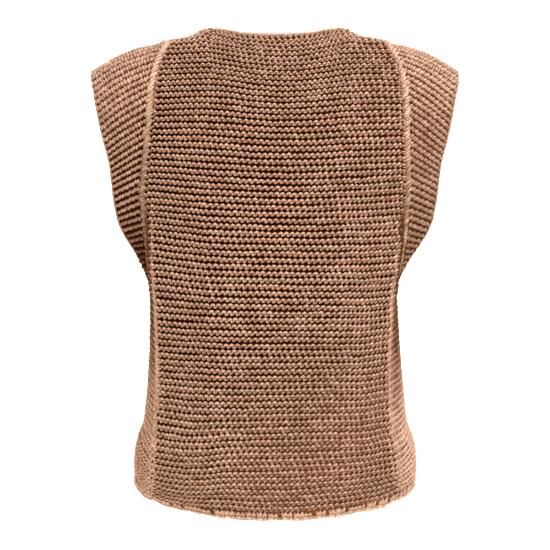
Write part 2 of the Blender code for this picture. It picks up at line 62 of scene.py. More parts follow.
# ---- the body tube ------------------------------------------------------------------------
# Its shape is given by rows, numbered like the ridges: 0 is the hem and 80 the shoulder seam.
HEM_BACK_Y = 0.078  # the middle of the back hem
HEM_BACK_Z = -0.555
HEM_FRONT_Y = -0.100  # the middle of the front hem
HEM_FRONT_Z = -0.548
# The shoulder seam runs from the neck by way of a middle point to the armhole.
SHOULDER = {"x": (0.073, 0.104), "z": (0.0185, 0.0045)}

# How far the middle of the panel leans out from upright, going up, in degrees.
BACK_LEAN = {
    "row": (0, 3, 8, 20, 34, 46, 54, 59, 63, 67, 71, 76, 80),
    "lean": (20, 14, 8, 7, 4, 0, -6, -13, -21, -30, -38, -44, -48),
}
FRONT_LEAN = {
    "row": (0, 4, 12, 24, 34, 41, 47, 54, 60, 66, 72, 80),
    "lean": (10, 5, 2, 3, 8, 6, -6, -20, -27, -30, -40, -60),
}

# Each row of knitting passes the middle, the blade, the fold and the side or armhole. A rise is
# how much higher that point lies than the middle. The last row is the shoulder seam, set above.
BACK = {
    "row": (0, 4, 10, 16, 24, 32, 40, 48, 56, 64, 70, 75, 80),
    "blade_x": (0.080, 0.080, 0.080, 0.078, 0.076, 0.075, 0.076, 0.078, 0.078, 0.077, 0.076, 0.074),
    "blade_drop": (0.008, 0.007, 0.004, 0.003, 0.002, 0.002, 0.003, 0.006, 0.011, 0.019, 0.026, 0.029),
    "blade_rise": (0.0038, 0.0030, 0.0014, 0.0006, 0.000, 0.000, 0.000, 0.001, 0.002, 0.004, 0.007, 0.008),
    "fold_x": (0.153, 0.149, 0.1445, 0.139, 0.136, 0.137, 0.142, 0.142, 0.141, 0.139, 0.134, 0.122),
    "fold_y": (0.038, 0.049, 0.061, 0.068, 0.074, 0.078, 0.076, 0.073, 0.072, 0.066, 0.052, 0.030),
    "fold_rise": (0.011, 0.009, 0.005, 0.003, 0.002, 0.002, 0.003, 0.004, 0.004, 0.006, 0.008, 0.008),
}
FRONT = {
    "row": (0, 4, 10, 16, 24, 32, 40, 48, 56, 64, 70, 75, 80),
    "blade_x": (0.080, 0.080, 0.078, 0.076, 0.075, 0.076, 0.078, 0.080, 0.079, 0.077, 0.076, 0.074),
    "blade_drop": (0.008, 0.006, 0.005, 0.004, 0.003, 0.002, 0.001, 0.002, 0.006, 0.012, 0.020, 0.018),
    "blade_rise": (0.001, 0.001, 0.001, 0.001, 0.001, 0.002, 0.003, 0.003, 0.003, 0.004, 0.005, 0.004),
    "fold_x": (0.146, 0.144, 0.141, 0.139, 0.138, 0.138, 0.140, 0.141, 0.140, 0.137, 0.132, 0.122),
    "fold_y": (0.052, 0.058, 0.064, 0.068, 0.073, 0.077, 0.078, 0.074, 0.068, 0.058, 0.046, 0.027),
    "fold_rise": (0.008, 0.007, 0.005, 0.004, 0.004, 0.006, 0.009, 0.010, 0.008, 0.007, 0.006, 0.005),
}
# Where the rows end: x at the side seam, and the rise there and along the armhole above it.
SIDE = {
    "row": (0, 4, 8, 12, 18, 24, 31, 38),
    "x": (0.1695, 0.1690, 0.1650, 0.1570, 0.1520, 0.1490, 0.1472, 0.1470),
}
ROW_END = {
    "row": (0, 4, 8, 12, 18, 24, 31, 40, 48, 56, 64, 72, 76, 80),
    "rise": (0.031, 0.027, 0.020, 0.012, 0.005, 0.001, -0.003, -0.004, 0.0, 0.002, 0.0, 0.004, 0.003),
}
# Soft swells that the hanging cloth keeps: the middle's x and row, its reach along each, how deep.
SWELLS = {
    "back": (
        {"x": 0.085, "row": 13, "reach_x": 0.045, "reach_rows": 8, "depth": 0.008},
        {"x": -0.060, "row": 22, "reach_x": 0.050, "reach_rows": 9, "depth": -0.004},
        {"x": 0.050, "row": 45, "reach_x": 0.060, "reach_rows": 7, "depth": -0.003},
    ),
    "front": (
        {"x": 0.070, "row": 20, "reach_x": 0.050, "reach_rows": 9, "depth": -0.004},
        {"x": -0.085, "row": 12, "reach_x": 0.040, "reach_rows": 8, "depth": 0.006},
    ),
}
# How many millimetres lower the back's rows hang than the tables above say, a line for each share
# of half the width. The share 0.75 holds as far as the fold or the armhole.
SAG_ROWS = (0, 2, 6, 10, 14, 18, 24, 31, 37, 43, 48, 54, 60, 66, 72, 79, 80)
SAG_SHARES = (0, 0.15, 0.30, 0.45, 0.60, 0.75)
SAG_LEFT = (
    (0, 0.0, 0.0, 0.0, 0.0, 0.0, 0.0, 0.5, 0.3, -0.4, -0.7, -0.2, -0.3, -0.3, 0.2, 0.6, 0),
    (0, 0.6, 0.2, 0.2, 0.5, 0.4, -0.2, 0.3, -0.2, -0.6, -0.9, -0.7, -1.4, -1.7, -0.8, 0.0, 0),
    (0, 0.0, 0.4, 0.8, 0.6, 0.4, 0.0, 0.2, -0.3, -0.7, -1.3, -1.3, -2.2, -3.3, -1.8, 0.1, 0),
    (0, 1.4, 4.4, 4.8, 2.8, 0.2, -0.8, -0.3, -0.9, -1.5, -1.5, -1.3, -1.7, -1.9, -1.1, 0.1, 0),
    (0, 5.0, 9.8, 9.5, 6.6, 2.4, 1.2, 1.5, -0.5, -1.4, -1.0, -1.0, -0.4, -0.3, -0.2, 0.3, 0),
    (0, 5.6, 11.8, 11.2, 7.6, 3.3, 2.5, 2.6, -0.8, -1.8, -0.9, -0.6, 1.1, 1.9, 1.2, 0.6, 0),
)
SAG_RIGHT = (
    SAG_LEFT[0],
    (0, 0.3, 0.0, 0.0, -0.2, -0.1, 0.2, 0.8, 0.6, 0.1, -0.1, 0.3, 0.0, 0.2, 1.1, 0.6, 0),
    (0, -0.4, -0.5, -0.4, -0.2, -0.1, 0.3, 1.1, 0.9, 0.5, 0.0, 0.3, 0.4, 0.1, 0.7, 0.8, 0),
    (0, -0.2, 0.1, 0.2, 0.6, 0.7, 0.7, 1.6, 1.4, 0.7, 0.2, 0.7, 0.7, 0.2, 0.9, 0.9, 0),
    (0, 1.0, 2.0, 2.3, 2.8, 3.1, 3.3, 4.5, 4.8, 3.4, 2.4, 2.2, 1.5, 0.2, 0.0, 0.7, 0),
    (0, 0.8, 1.6, 1.7, 1.9, 2.3, 2.9, 4.8, 6.2, 5.0, 3.4, 2.6, 2.1, 1.2, 0.6, 0.6, 0),
)
NECK_DROP_ROW = 67  # the lowest row of the round front neck
NECK_DIP = 0.5  # the middle of the back neck lies this many rows lower
NECK_DIP_FROM = 75  # the dip begins on this row
NECK_DIP_ROWS = 4  # and sets in over this many
SAG_JOINS = 6  # over this many rows above the underarm the armhole's edge takes up the sag
BLADE_SHARE, FOLD_SHARE = 0.45, 0.82  # where the blade and the fold lie across half a panel
ROW_BOW = 2.3  # how flat the middle of a row is: 2 is a parabola
FOLD_ENDS_ROW, SMOOTH_FROM_ROW = 44, 54  # the side fold dies out between these two
SWELL_FADE = 0.3  # the swells die out over this last share of a row

# ---- the armhole --------------------------------------------------------------------------
# The seam's line round the left armhole: how far it swings back and forward, and its x by height.
ARMHOLE_DEPTH = {"back": 0.066, "front": 0.062}
ARMHOLE = {
    "z": (-0.290, -0.249, -0.215, -0.183, -0.163, -0.120, -0.074, -0.052, -0.033, -0.017, 0.000),
    "x": (0.1476, 0.1485, 0.1505, 0.1530, 0.1537, 0.1510, 0.1492, 0.1470, 0.1435, 0.1390, 0.1290),
}
LOW_ROUND, HIGH_ROUND = 0.64, 0.50  # 0.5 is an ellipse's round end, 1 a sharp corner
SEAM_HALF = 0.0039  # from the seam's middle to the pieces' edges
UNDERARM_EASE = 0.0010  # more room where the seam turns tightly


def smooth(knots, values, at):
    """A curve through the knots with no overshoot, read at every point of at."""
    x, y = np.asarray(knots, float), np.asarray(values, float)
    step, rise = np.diff(x), np.diff(y)
    slope = rise / step
    bend = np.zeros(len(x))
    same_way = slope[1:] * slope[:-1] > 0
    total = np.where(same_way, slope[1:] + slope[:-1], 1.0)
    bend[1:-1] = np.where(same_way, 2 * slope[1:] * slope[:-1] / total, 0.0)
    bend[0], bend[-1] = slope[0], slope[-1]
    at = np.clip(np.asarray(at, float), x[0], x[-1])
    i = np.clip(np.searchsorted(x, at, side="right") - 1, 0, len(step) - 1)
    t = (at - x[i]) / step[i]
    start = (1 + 2 * t) * (1 - t) ** 2 * y[i] + t * (1 - t) ** 2 * step[i] * bend[i]
    end = t * t * (3 - 2 * t) * y[i + 1] - t * t * (1 - t) * step[i] * bend[i + 1]
    return start + end


def ease(t):
    """0 to 1, level at both ends."""
    t = np.clip(t, 0.0, 1.0)
    return t * t * (3 - 2 * t)


def bump(at, middle, reach):
    """1 at the middle, falling away softly on both sides of it."""
    return np.exp(-(((at - middle) / reach) ** 2))


def unit(v):
    """v with a length of 1."""
    return v / np.maximum(np.linalg.norm(v, axis=-1, keepdims=True), 1e-12)


def square_to(along, v):
    """v without its part along this way."""
    return v - (v * along).sum(-1, keepdims=True) * along


def facing(toward, v):
    """v, turned round where it points away from toward."""
    return v * np.sign((v * toward).sum(-1, keepdims=True))


def run_along(points):
    """How far along the line each of its points lies."""
    return np.concatenate([[0], np.cumsum(np.linalg.norm(np.diff(points, axis=0), axis=1))])


def read_at(at, run, values):
    """Rows of three values that lie at the places in run, read at every place of at."""
    return np.stack([np.interp(at, run, values[:, k]) for k in range(3)], axis=-1)


def off_the_seam(grid, out):
    """Keeps points half a gap from where the back and the front meet; out is 1 on the back."""
    grid[..., 1] = out * np.maximum(out * grid[..., 1], SEAM_GAP / 2)


def middle_line(side):
    """Where each quarter row of the panel's middle lies: row numbers, y and z."""
    lean, y, z, out = {
        "back": (BACK_LEAN, HEM_BACK_Y, HEM_BACK_Z, 1),
        "front": (FRONT_LEAN, HEM_FRONT_Y, HEM_FRONT_Z, -1),
    }[side]
    row = np.arange(0, RIDGES + 0.125, 0.25)
    between = row[:-1] + 0.125
    angle = np.radians(smooth(lean["row"], lean["lean"], between))
    step = smooth(ROW_PITCH["row"], ROW_PITCH["pitch"], between) * 0.25
    along_y = np.concatenate([[0], np.cumsum(out * np.sin(angle) * step)])
    along_z = np.concatenate([[0], np.cumsum(np.cos(angle) * step)])
    return row, y + along_y, z + along_z


MIDDLE = {side: middle_line(side) for side in ("back", "front")}


def loop_line(table, depth):
    """Points round an armhole on the +X side, and the turn at each.

    turn is 0 at the lowest point, 0.5 at the shoulder by way of the back, and 1 at the lowest again.
    """
    low_z, high_z = table["z"][0], table["z"][-1]
    up = 0.5 - 0.5 * np.cos(np.linspace(0, np.pi, 401))
    z = low_z + up * (high_z - low_z)
    belly = up**LOW_ROUND * (1 - up) ** HIGH_ROUND
    x = smooth(table["z"], table["x"], z)
    half = {}
    for side, sign in (("back", 1), ("front", -1)):
        points = np.stack([x, sign * depth[side] * belly / belly.max(), z], axis=-1)
        run = run_along(points)
        half[side] = points, run / run[-1] / 2
    turns = np.concatenate([half["back"][1], 1 - half["front"][1][-2::-1]])
    return turns, np.concatenate([half["back"][0], half["front"][0][-2::-1]])


ARMHOLE_LINE = loop_line(ARMHOLE, ARMHOLE_DEPTH)


def on_loop(line, turn):
    """The points of a line from loop_line at these turns."""
    return read_at(np.asarray(turn, float) % 1.0, *line)


def seam_frame(turn):
    """The seam's middle, and the ways along it, into the body's cloth and out of that cloth."""
    turn = np.asarray(turn, float)
    small = 4e-3  # how far round the neighbours lie that give the way along
    along = unit(on_loop(ARMHOLE_LINE, turn + small) - on_loop(ARMHOLE_LINE, turn - small))
    a = 2 * np.pi * turn
    under, over = np.maximum(np.cos(a), 0.0), np.maximum(-np.cos(a), 0)
    # into the body beside the arm, down under it, and a little up over the shoulder
    into = np.stack([-(1 - under), 0.5 * np.sin(a), -under + 0.2 * (1 - under) * over], axis=-1)
    into = unit(square_to(along, into))
    toward = np.stack([np.full_like(a, 0.6), np.sin(a), -np.cos(a)], axis=-1)
    return on_loop(ARMHOLE_LINE, turn), along, into, facing(toward, np.cross(into, along))


def seam_half(turn):
    """From the seam's middle to the cloth's edge on either side of it, as a column."""
    return SEAM_HALF + UNDERARM_EASE * np.maximum(np.cos(2 * np.pi * np.asarray(turn)), 0)[:, None]


def panel_edge(side):
    """The panel's edge along the armhole, from the underarm up, and the ways out of the cloth."""
    turn = np.linspace(0.0, 0.5, 161)
    turn = turn if side == "back" else 1 - turn
    middle, _, into, out = seam_frame(turn)
    edge = middle + seam_half(turn) * into
    keep = np.maximum.accumulate(edge[:, 2]) <= edge[:, 2]
    edge = edge[keep]
    _, first = np.unique(edge[:, 2], return_index=True)
    return edge[first] * (1, np.sign(0.25 - turn[1]), 1), out[keep][first]


EDGE = {side: panel_edge(side) for side in ("back", "front")}


def row_end_z(row):
    """The height at which a row of knitting ends, at the side seam or the armhole."""
    rows, _, zs = MIDDLE["back"]
    rises = (*ROW_END["rise"], EDGE["back"][0][-1, 2] - zs[-1])
    return np.interp(row, rows, zs) + float(smooth(ROW_END["row"], rises, row))


def underarm_row():
    """The row at whose height the side seam ends."""
    low, high = 0.0, float(RIDGES)
    for _ in range(40):
        middle = (low + high) / 2
        if row_end_z(middle) < EDGE["back"][0][0, 2]:
            low = middle
        else:
            high = middle
    return low


UNDERARM_ROW = underarm_row()


def swell(side, x, row):
    """How far the soft swells push the cloth out at signed x."""
    total = np.zeros(np.broadcast(x, row).shape)
    for s in SWELLS[side]:
        far = ((x - s["x"]) / s["reach_x"]) ** 2 + ((row - s["row"]) / s["reach_rows"]) ** 2
        total = total + s["depth"] * np.exp(-far)
    return total


def sag(hand, row, shares):
    """How much lower one row of the back lies, as far as the fold; it dies out at the row's end."""
    lines = SAG_LEFT if hand > 0 else SAG_RIGHT
    read = [0.001 * float(smooth(SAG_ROWS, line, row)) for line in lines]
    beyond = np.clip((np.abs(shares) - FOLD_SHARE) / (1 - FOLD_SHARE), 0, 1)
    return smooth(SAG_SHARES, read, np.abs(shares)) * (1 - beyond)


def plain_row(side, hand, row, shares):
    """The points of one row at shares of half the panel's width. hand is 1 for +X."""
    table = BACK if side == "back" else FRONT
    out = 1 if side == "back" else -1
    rows, ys, zs = MIDDLE[side]
    y0, z0 = abs(np.interp(row, rows, ys)), np.interp(row, rows, zs)
    top = {
        "blade_x": SHOULDER["x"][0],
        "blade_drop": abs(ys[-1]) - SEAM_GAP / 2,
        "blade_rise": SHOULDER["z"][0] - zs[-1],
        "fold_x": SHOULDER["x"][1],
        "fold_y": SEAM_GAP / 2,
        "fold_rise": SHOULDER["z"][1] - zs[-1],
    }
    read = {k: float(smooth(table["row"], (*table[k], top[k]), row)) for k in top}
    # where the row ends: at the side seam, or at the armhole's edge
    edge_x, edge_y, edge_z = EDGE[side][0].T
    lift = row_end_z(row)
    if side == "back":
        lift = lift - sag(hand, row, FOLD_SHARE) * ease((row - UNDERARM_ROW) / SAG_JOINS)
    if row <= UNDERARM_ROW:
        end = (float(smooth(SIDE["row"], SIDE["x"], row)), SEAM_GAP / 2, lift)
    else:
        edge_y = max(np.interp(lift, edge_z, edge_y), SEAM_GAP / 2)
        end = (np.interp(lift, edge_z, edge_x), edge_y, lift)
    blade = (read["blade_x"], y0 - read["blade_drop"], z0 + read["blade_rise"])
    fold = (read["fold_x"], max(read["fold_y"], end[1]), z0 + read["fold_rise"])
    knots = (BLADE_SHARE, FOLD_SHARE, 1.0)
    near = np.abs(shares) / BLADE_SHARE
    run, to_fold = [], []
    for k, bow in enumerate((1, ROW_BOW, 2)):  # across, back or forward, and up
        centre = (0, y0, z0)[k]
        round_middle = centre + (blade[k] - centre) * near**bow * (np.sign(shares) if k == 0 else 1)
        for out_to, path in ((3, run), (2, to_fold)):
            beyond = smooth(knots[:out_to], (blade[k], fold[k], end[k])[:out_to], shares)
            path.append(np.where(near < 1, round_middle, beyond))
    # below the armhole the cloth turns a corner at the fold and runs straight along the side
    t = np.clip((shares - FOLD_SHARE) / (1 - FOLD_SHARE), 0, 1)
    along_side = [start + (last - start) * way
                  for start, last, way in zip(fold, end, (np.sin(t * np.pi / 2), t, t))]
    creased = [np.where(shares <= FOLD_SHARE, a, b) for a, b in zip(to_fold, along_side)]
    soft = ease((row - FOLD_ENDS_ROW) / (SMOOTH_FROM_ROW - FOLD_ENDS_ROW))
    x, y, z = ((1 - soft) * a + soft * b for a, b in zip(creased, run))
    fade = np.clip((1 - shares) / SWELL_FADE, 0, 1)
    y = y + swell(side, hand * x, row) * fade
    return np.stack([hand * x, out * y, z], axis=-1)


def row_points(side, hand, row, shares):
    """The points of one row, with the back's dip at the neck and its sags."""
    points = plain_row(side, hand, row, shares)
    dip = NECK_DIP * float(ease((row - NECK_DIP_FROM) / NECK_DIP_ROWS))
    if side == "back" and dip > 0:
        beside = ease((shares - BLADE_SHARE / 2) / (BLADE_SHARE / 2))[:, None]
        points = plain_row(side, hand, row - dip, shares) * (1 - beside) + points * beside
    if side == "back":
        points[..., 2] -= sag(hand, row, shares)
    return points


def row_of(ridge):
    """The row on which this ridge number lies."""
    return smooth(ROW_OF["ridge"], ROW_OF["row"], ridge)


def ridge_at(row):
    """The ridge number at this row."""
    fine = np.linspace(0, RIDGES, 4001)
    return float(np.interp(row, row_of(fine), fine))


def neck_share(row):
    """The share of half the front's width that the neck opening takes at this row."""
    t = np.clip((row - NECK_DROP_ROW) / (RIDGES - NECK_DROP_ROW), 0, 1)
    return BLADE_SHARE * np.sqrt(1 - (1 - t) ** 2)


def panel_grid(side, hand, rows, columns):
    """Base points and outward normals of half a panel, a row for each row number."""
    edge, edge_out = EDGE[side]
    nudge, reach = 0.005, 0.3  # how far off the neighbours that give a point's normal lie
    points, normals = [], []
    for row in rows:
        start = neck_share(row) if side == "front" else 0.0
        shares = start + (1 - start) * columns
        right, left = (row_points(side, hand, row, shares + off) for off in (nudge, -nudge))
        high, low = min(row + reach, RIDGES), max(row - reach, 0)
        up = row_points(side, hand, high, shares) - row_points(side, hand, low, shares)
        points.append(row_points(side, hand, row, shares))
        normals.append(unit(np.cross(right - left, up)))
    points = np.array(points)
    normals = facing(points * (1.0, 1.0, 0.0) + (0, 0, 0.02), np.array(normals))
    # keep the edges that meet another piece upright over their seam, and the middle in line
    normals[np.abs(points[..., 0]) < 1e-6, 0] = 0
    normals[np.abs(points[..., 1]) < SEAM_GAP, 1] = 0
    for i, row in enumerate(rows):
        if row > UNDERARM_ROW:
            normals[i, -1] = read_at(points[i, -1, 2], edge[:, 2], edge_out) * (hand, 1, 1)
    return points, unit(normals)


# Small pulls of the hanging cloth that the rows leave out. Each is strongest at one x, reaches so
# far to both sides of it and goes by the distance down from the neck. Beside the armhole seams the
# cloth is pulled to the right as seen from behind.
SEAM_PULL = {
    "x": 0.142, "reach": 0.034, "down": (-0.01, 0.00, 0.08, 0.12, 0.18),
    "left": (0.0052, 0.0052, 0.0052, 0.0026, 0.0), "right": (0.0030, 0.0030, 0.0030, 0.0018, 0.0),
}
# How far the right side fold and the whole right side lie in from the left ones' places.
FOLD_PULL = {
    "x": -0.137, "reach": 0.016, "down": (0.31, 0.36, 0.42, 0.47, 0.50),
    "in": (0.0, 0.0030, 0.0046, 0.0040, 0.0010),
}
SIDE_PULL = {"down": (0.235, 0.275, 0.295, 0.33, 0.40), "in": (0.0, 0.0038, 0.0044, 0.0022, 0.0)}
# The shoulders' corners stand up at the neck, and the hem's lie higher at the side folds.
NECK_CORNERS = (
    {"x": 0.0865, "reach": 0.0075, "rise": 0.0026},
    {"x": 0.0725, "reach": 0.0040, "rise": -0.0010},
)
HEM_CORNER = {"x": 0.1495, "reach": 0.012, "rise": 0.0050}


def drape(points):
    """The points with the small pulls: the left and right differ, and the corners are soft."""
    x, y, z = points[..., 0], points[..., 1], points[..., 2]
    at_back = ease((y + 0.005) / 0.03)  # the pulls die out over the sides and leave the front alone
    left, right = (np.interp(-z, SEAM_PULL["down"], SEAM_PULL[word]) for word in ("left", "right"))
    pull = np.where(x > 0, left, right)
    beside_seam = bump(np.abs(x), SEAM_PULL["x"], SEAM_PULL["reach"]) * at_back * pull
    at_fold = bump(x, FOLD_PULL["x"], FOLD_PULL["reach"]) * ease((y - 0.028) / 0.03)
    moved = points.copy()
    moved[..., 0] += at_fold * np.interp(-z, FOLD_PULL["down"], FOLD_PULL["in"]) - beside_seam
    moved[..., 0] += ease((-x - 0.10) / 0.04) * np.interp(-z, SIDE_PULL["down"], SIDE_PULL["in"])
    at_top = ease((z + 0.014) / 0.020)  # the last 2 cm up to the shoulders
    for corner in NECK_CORNERS:
        moved[..., 2] += at_top * corner["rise"] * bump(np.abs(x), corner["x"], corner["reach"])
    at_hem = ease((-0.500 - z) / 0.035) * ease((y + 0.005) / 0.02)  # the back's lowest 5 cm
    moved[..., 2] += at_hem * HEM_CORNER["rise"] * bump(np.abs(x), HEM_CORNER["x"], HEM_CORNER["reach"])
    return moved


# How closely the ridges lie, 0 for loose and 1 for close. The pairs go by the distance down.
CLOSE_RIGHT = 4.0  # added for each metre to the right as seen from behind
CLOSE_LOW = ((0.30, 0.44, 0.50, 0.55), (0, 0.60, 0.90, 1.0))
CLOSE_LOW_LEFT = 0.35  # this much less of it at the left
CLOSE_ARM = ((0.03, 0.06, 0.11, 0.22), (1, 0.95, 0.5, 0))  # over the shoulders' outer ends
CLOSE_TOP = ((-0.012, 0.010), (0.35, 0))  # beside the neck
CLOSE_SPOT = {"x": 0.0165, "reach": 0.005, "z": -0.008, "reach_z": 0.008}  # one spot at the neck
STRIP_FROM = ((0.30, 0.45, 0.50, 0.55), (0.140, 0.146, 0.150, 0.156))  # x beyond the side folds
STRIP_CLOSE = {"left": -0.30, "right": 0.75}  # added there
SEAM_LOOSE = 0.005  # the ridges open this near to the armhole seams
SEAM_LOOSE_RIGHT = ((0.16, 0.20), (1, 0))  # at the right they do so only this far down


def closeness(points):
    """How closely the ridges lie: loose at the upper left as seen from behind, close at the right,
    at the hem and over the shoulders' outer ends."""
    x, y, z = points[..., 0], points[..., 1], points[..., 2]
    far = np.abs(x)
    close = CLOSE_RIGHT * np.maximum(-x, 0) * ease((y + 0.02) / 0.04)
    close = close + np.interp(-z, *CLOSE_LOW) * (1 - CLOSE_LOW_LEFT * ease((x - 0.02) / 0.06))
    close = close + ease((far - 0.143) / 0.016) * np.interp(-z, *CLOSE_ARM)
    close = close + np.interp(-z, *CLOSE_TOP) * (far < 0.10)
    strip = ease((far - np.interp(-z, *STRIP_FROM)) / 0.006) * ease((-z - 0.27) / 0.04)
    close = close + np.where(x > 0, STRIP_CLOSE["left"], STRIP_CLOSE["right"]) * strip
    spot = bump(x, CLOSE_SPOT["x"], CLOSE_SPOT["reach"]) * bump(z, CLOSE_SPOT["z"], CLOSE_SPOT["reach_z"])
    beside_seam = bump(far, np.interp(z, *ARMHOLE.values()), SEAM_LOOSE) * (z > ARMHOLE["z"][0])
    beside_seam = beside_seam * np.where(x > 0, 1, np.interp(-z, *SEAM_LOOSE_RIGHT))
    return np.clip(close + spot * (y > 0), 0, 1) * (1 - beside_seam)


# Stitch space is metres along the row, up the cloth and out of it. A stitch is two arcs of yarn:
# a head that arches up, and half a stitch on the loop between two heads, which hangs down.
STITCH = 0.0066
NOMINAL_PITCH = 0.0077
YARN = 0.00131  # the yarn's radius
LEAN = 0.30  # the heads lean the way the rows were knitted
LEAN_MORE = ((-0.16, 0.06), (0.40, 0.0))  # and more so at the right of the back, by x
ARC_WIDE, ARC_HIGH, ARC_SINK = 0.0020, 0.00250, 0.00060
ARC_TURNS = np.radians((-112, -62, -8, 50, 105))
HEAD_OUT = np.array((-0.0008, 0.0011, 0.0019, 0.0008, -0.0015))
LOOP_OUT = np.array((-0.0016, 0.0003, 0.0013, 0.0006, -0.0010))
HALF_RIDGES = np.arange(0, RIDGES + 0.25, 0.5)
ROWS = row_of(HALF_RIDGES)  # the row on which each half ridge lies
NECK_ROW = int(np.searchsorted(ROWS, NECK_DROP_ROW, side="right")) - 1  # the last below the neck
COLUMNS = np.linspace(0, 1, 61)
# How uneven the stitches are, each for itself and slowly over a few of them: metres along and out,
# shares of the pitch up, radians of turn, and shares of the size and the tone.
UNEVEN = {"along": 0.00022, "up": 0.022, "out": 0.00028, "turn": 0.07, "size": 0.045, "tone": 0.24}
UNEVEN_SLOW = {"along": 0.0006, "up": 0.028, "tall": 0.05}
SLOW = np.array((1, 2, 3, 4, 3, 2, 1)) / 6.6  # smooths a row's unevenness over a few stitches
FATTER = 0.6  # the share of a stitch's extra fullness that it has along the row and outwards too
rng = np.random.default_rng(11)


def mm(*points):
    """Points given in millimetres."""
    return np.array(points, float) / 1000


def strand(line, radius):
    """A short closed strand of yarn along a line: points, four-cornered faces and a UV per corner."""
    line = np.asarray(line, float)
    along = unit(np.gradient(line, axis=0))
    out = unit(np.array([0, 0, 1.0]) - along * along[:, 2:])
    side = np.cross(along, out)
    angle = (2 * np.pi * np.arange(4) / 4)[None, :, None]
    ring = np.cos(angle) * side[:, None] + np.sin(angle) * out[:, None]
    points = line[:, None] + ring * np.broadcast_to(radius, len(line))[:, None, None]
    index = np.arange(4 * len(line)).reshape(-1, 4)
    last = len(line) - 1
    faces, uvs = [], []
    for i in range(last):
        for j in range(4):
            k = (j + 1) % 4
            faces.append((index[i, j], index[i + 1, j], index[i + 1, k], index[i, k]))
            uvs.append(((i, j), (i + 1, j), (i + 1, j + 1), (i, j + 1)))
    faces += [tuple(index[0]), tuple(index[-1][::-1])]
    uvs += [[(end, j) for j in range(4)] for end in (0, last)]
    return points.reshape(-1, 3), np.array(faces), np.array(uvs, float) / (last, 4)


def together(*strands):
    """Several strands as one shape."""
    points = np.concatenate([s[0] for s in strands])
    starts = np.cumsum([0] + [len(s[0]) for s in strands[:-1]])
    faces = np.concatenate([s[1] + start for s, start in zip(strands, starts)])
    return points, faces, np.concatenate([s[2] for s in strands])


def arc(sign, shift):
    """One arc of a stitch: a head for sign 1, a hanging loop for sign -1."""
    up = sign * (ARC_HIGH * np.cos(ARC_TURNS) - ARC_SINK)
    along = ARC_WIDE * np.sin(ARC_TURNS) + shift + LEAN * up
    out = HEAD_OUT if sign > 0 else LOOP_OUT
    return strand(np.stack([along, up, out], axis=-1), YARN * np.array((0.85, 1, 1.08, 1, 0.8)))


STITCH_SHAPE = together(arc(1, -STITCH / 4), arc(-1, STITCH / 4))
STITCH_SHADES = np.repeat((0.20, -0.55), len(STITCH_SHAPE[0]) // 2)  # painted light: the heads lighter, the hanging loops darker with painted shade


def stitches(low, middle, high, width=STITCH, plump=None, pale=None, lean=None, phase=0.2):
    """Where the stitches of one ridge sit: their middles, and their ways along, up and out.

    plump is how much of the gap between ridges each point's stitches fill, pale is painted light and
    shade added to their tone, lean to how far they lean, and phase is how far a ridge's stitches may lie
    off their places.
    """
    run = run_along(middle)
    count = max(round(run[-1] / width), 1)
    at = (np.arange(count) + 0.5 + rng.uniform(-phase, phase)) * run[-1] / count
    along = unit(read_at(at, run, unit(np.gradient(middle, axis=0))))
    up = square_to(along, read_at(at, run, high - low))
    out = unit(np.cross(along, up))
    # no two stitches are quite alike
    change = rng.normal(size=(count, 6)).clip(-2, 2)
    slow = np.stack([np.convolve(rng.normal(size=count + 6), SLOW, "valid") for _ in range(3)], axis=-1)
    middle = read_at(at, run, middle)
    middle = middle + along * change[:, :1] * UNEVEN["along"] + up * change[:, 1:2] * UNEVEN["up"]
    middle = middle + out * change[:, 2:3] * UNEVEN["out"]
    middle = middle + up * slow[:, :1] * UNEVEN_SLOW["up"] + along * slow[:, 2:] * UNEVEN_SLOW["along"]
    turn = change[:, 3:4] * UNEVEN["turn"]
    size = 1 + change[:, 4:5] * UNEVEN["size"]
    tall = 1 + UNEVEN_SLOW["tall"] * slow[:, 1:2]
    full = np.ones(count) if plump is None else np.interp(at, run, plump)
    paler = 0.0 if pale is None else np.interp(at, run, pale)
    long = run[-1] / count / STITCH
    pitch = np.linalg.norm(up, axis=-1, keepdims=True)
    along_now = (along * np.cos(turn) + up / pitch * np.sin(turn)) * long * size
    up_now = (up * np.cos(turn) - along * pitch * np.sin(turn)) * size * full[:, None] * tall
    if lean is None:
        lean = np.interp(middle[:, 0], *LEAN_MORE) * (out[:, 1] > 0)
    up_now = up_now + along * (pitch[:, 0] * lean)[:, None]
    fat = 1 + FATTER * np.clip(full - 1, 0, None)[:, None]
    return middle, along_now * fat, up_now, out * fat, 0.5 + UNEVEN["tone"] * change[:, 5] + paler


def mesh_object(name, points, faces, uvs, tones, material):
    """A smooth piece of four-cornered faces, with UVs and a tone for each point."""
    mesh = bpy.data.meshes.new(name)
    mesh.from_pydata(drape(points).reshape(-1, 3), [], faces.reshape(-1, 4))
    mesh.uv_layers.new(name="yarn").data.foreach_set("uv", uvs.astype(np.float32).ravel())
    attribute = mesh.attributes.new("tone", "FLOAT", "POINT")
    attribute.data.foreach_set("value", tones.astype(np.float32).ravel())
    mesh.materials.append(material)
    mesh.shade_smooth()
    obj = bpy.data.objects.new(name, mesh)
    bpy.context.scene.collection.objects.link(obj)
    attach(obj, "root")
    return obj


def knitted(name, runs, shape, material, shades=0.0):
    """One piece of the same small shape at every place in runs; shades are added to its points' tones."""
    middle, along, up, out, tone = (np.concatenate(part) for part in zip(*runs))
    points, faces, uvs = shape
    places = middle[:, None] + points[None, :, :1] * along[:, None]
    places = places + points[None, :, 1:2] / NOMINAL_PITCH * up[:, None]
    places = places + points[None, :, 2:] * out[:, None]
    count = len(middle)
    all_faces = faces[None] + (np.arange(count) * len(points))[:, None, None]
    tones = tone[:, None] + np.broadcast_to(shades, len(points))
    return mesh_object(name, places, all_faces, np.tile(uvs, (count, 1, 1)), tones, material)


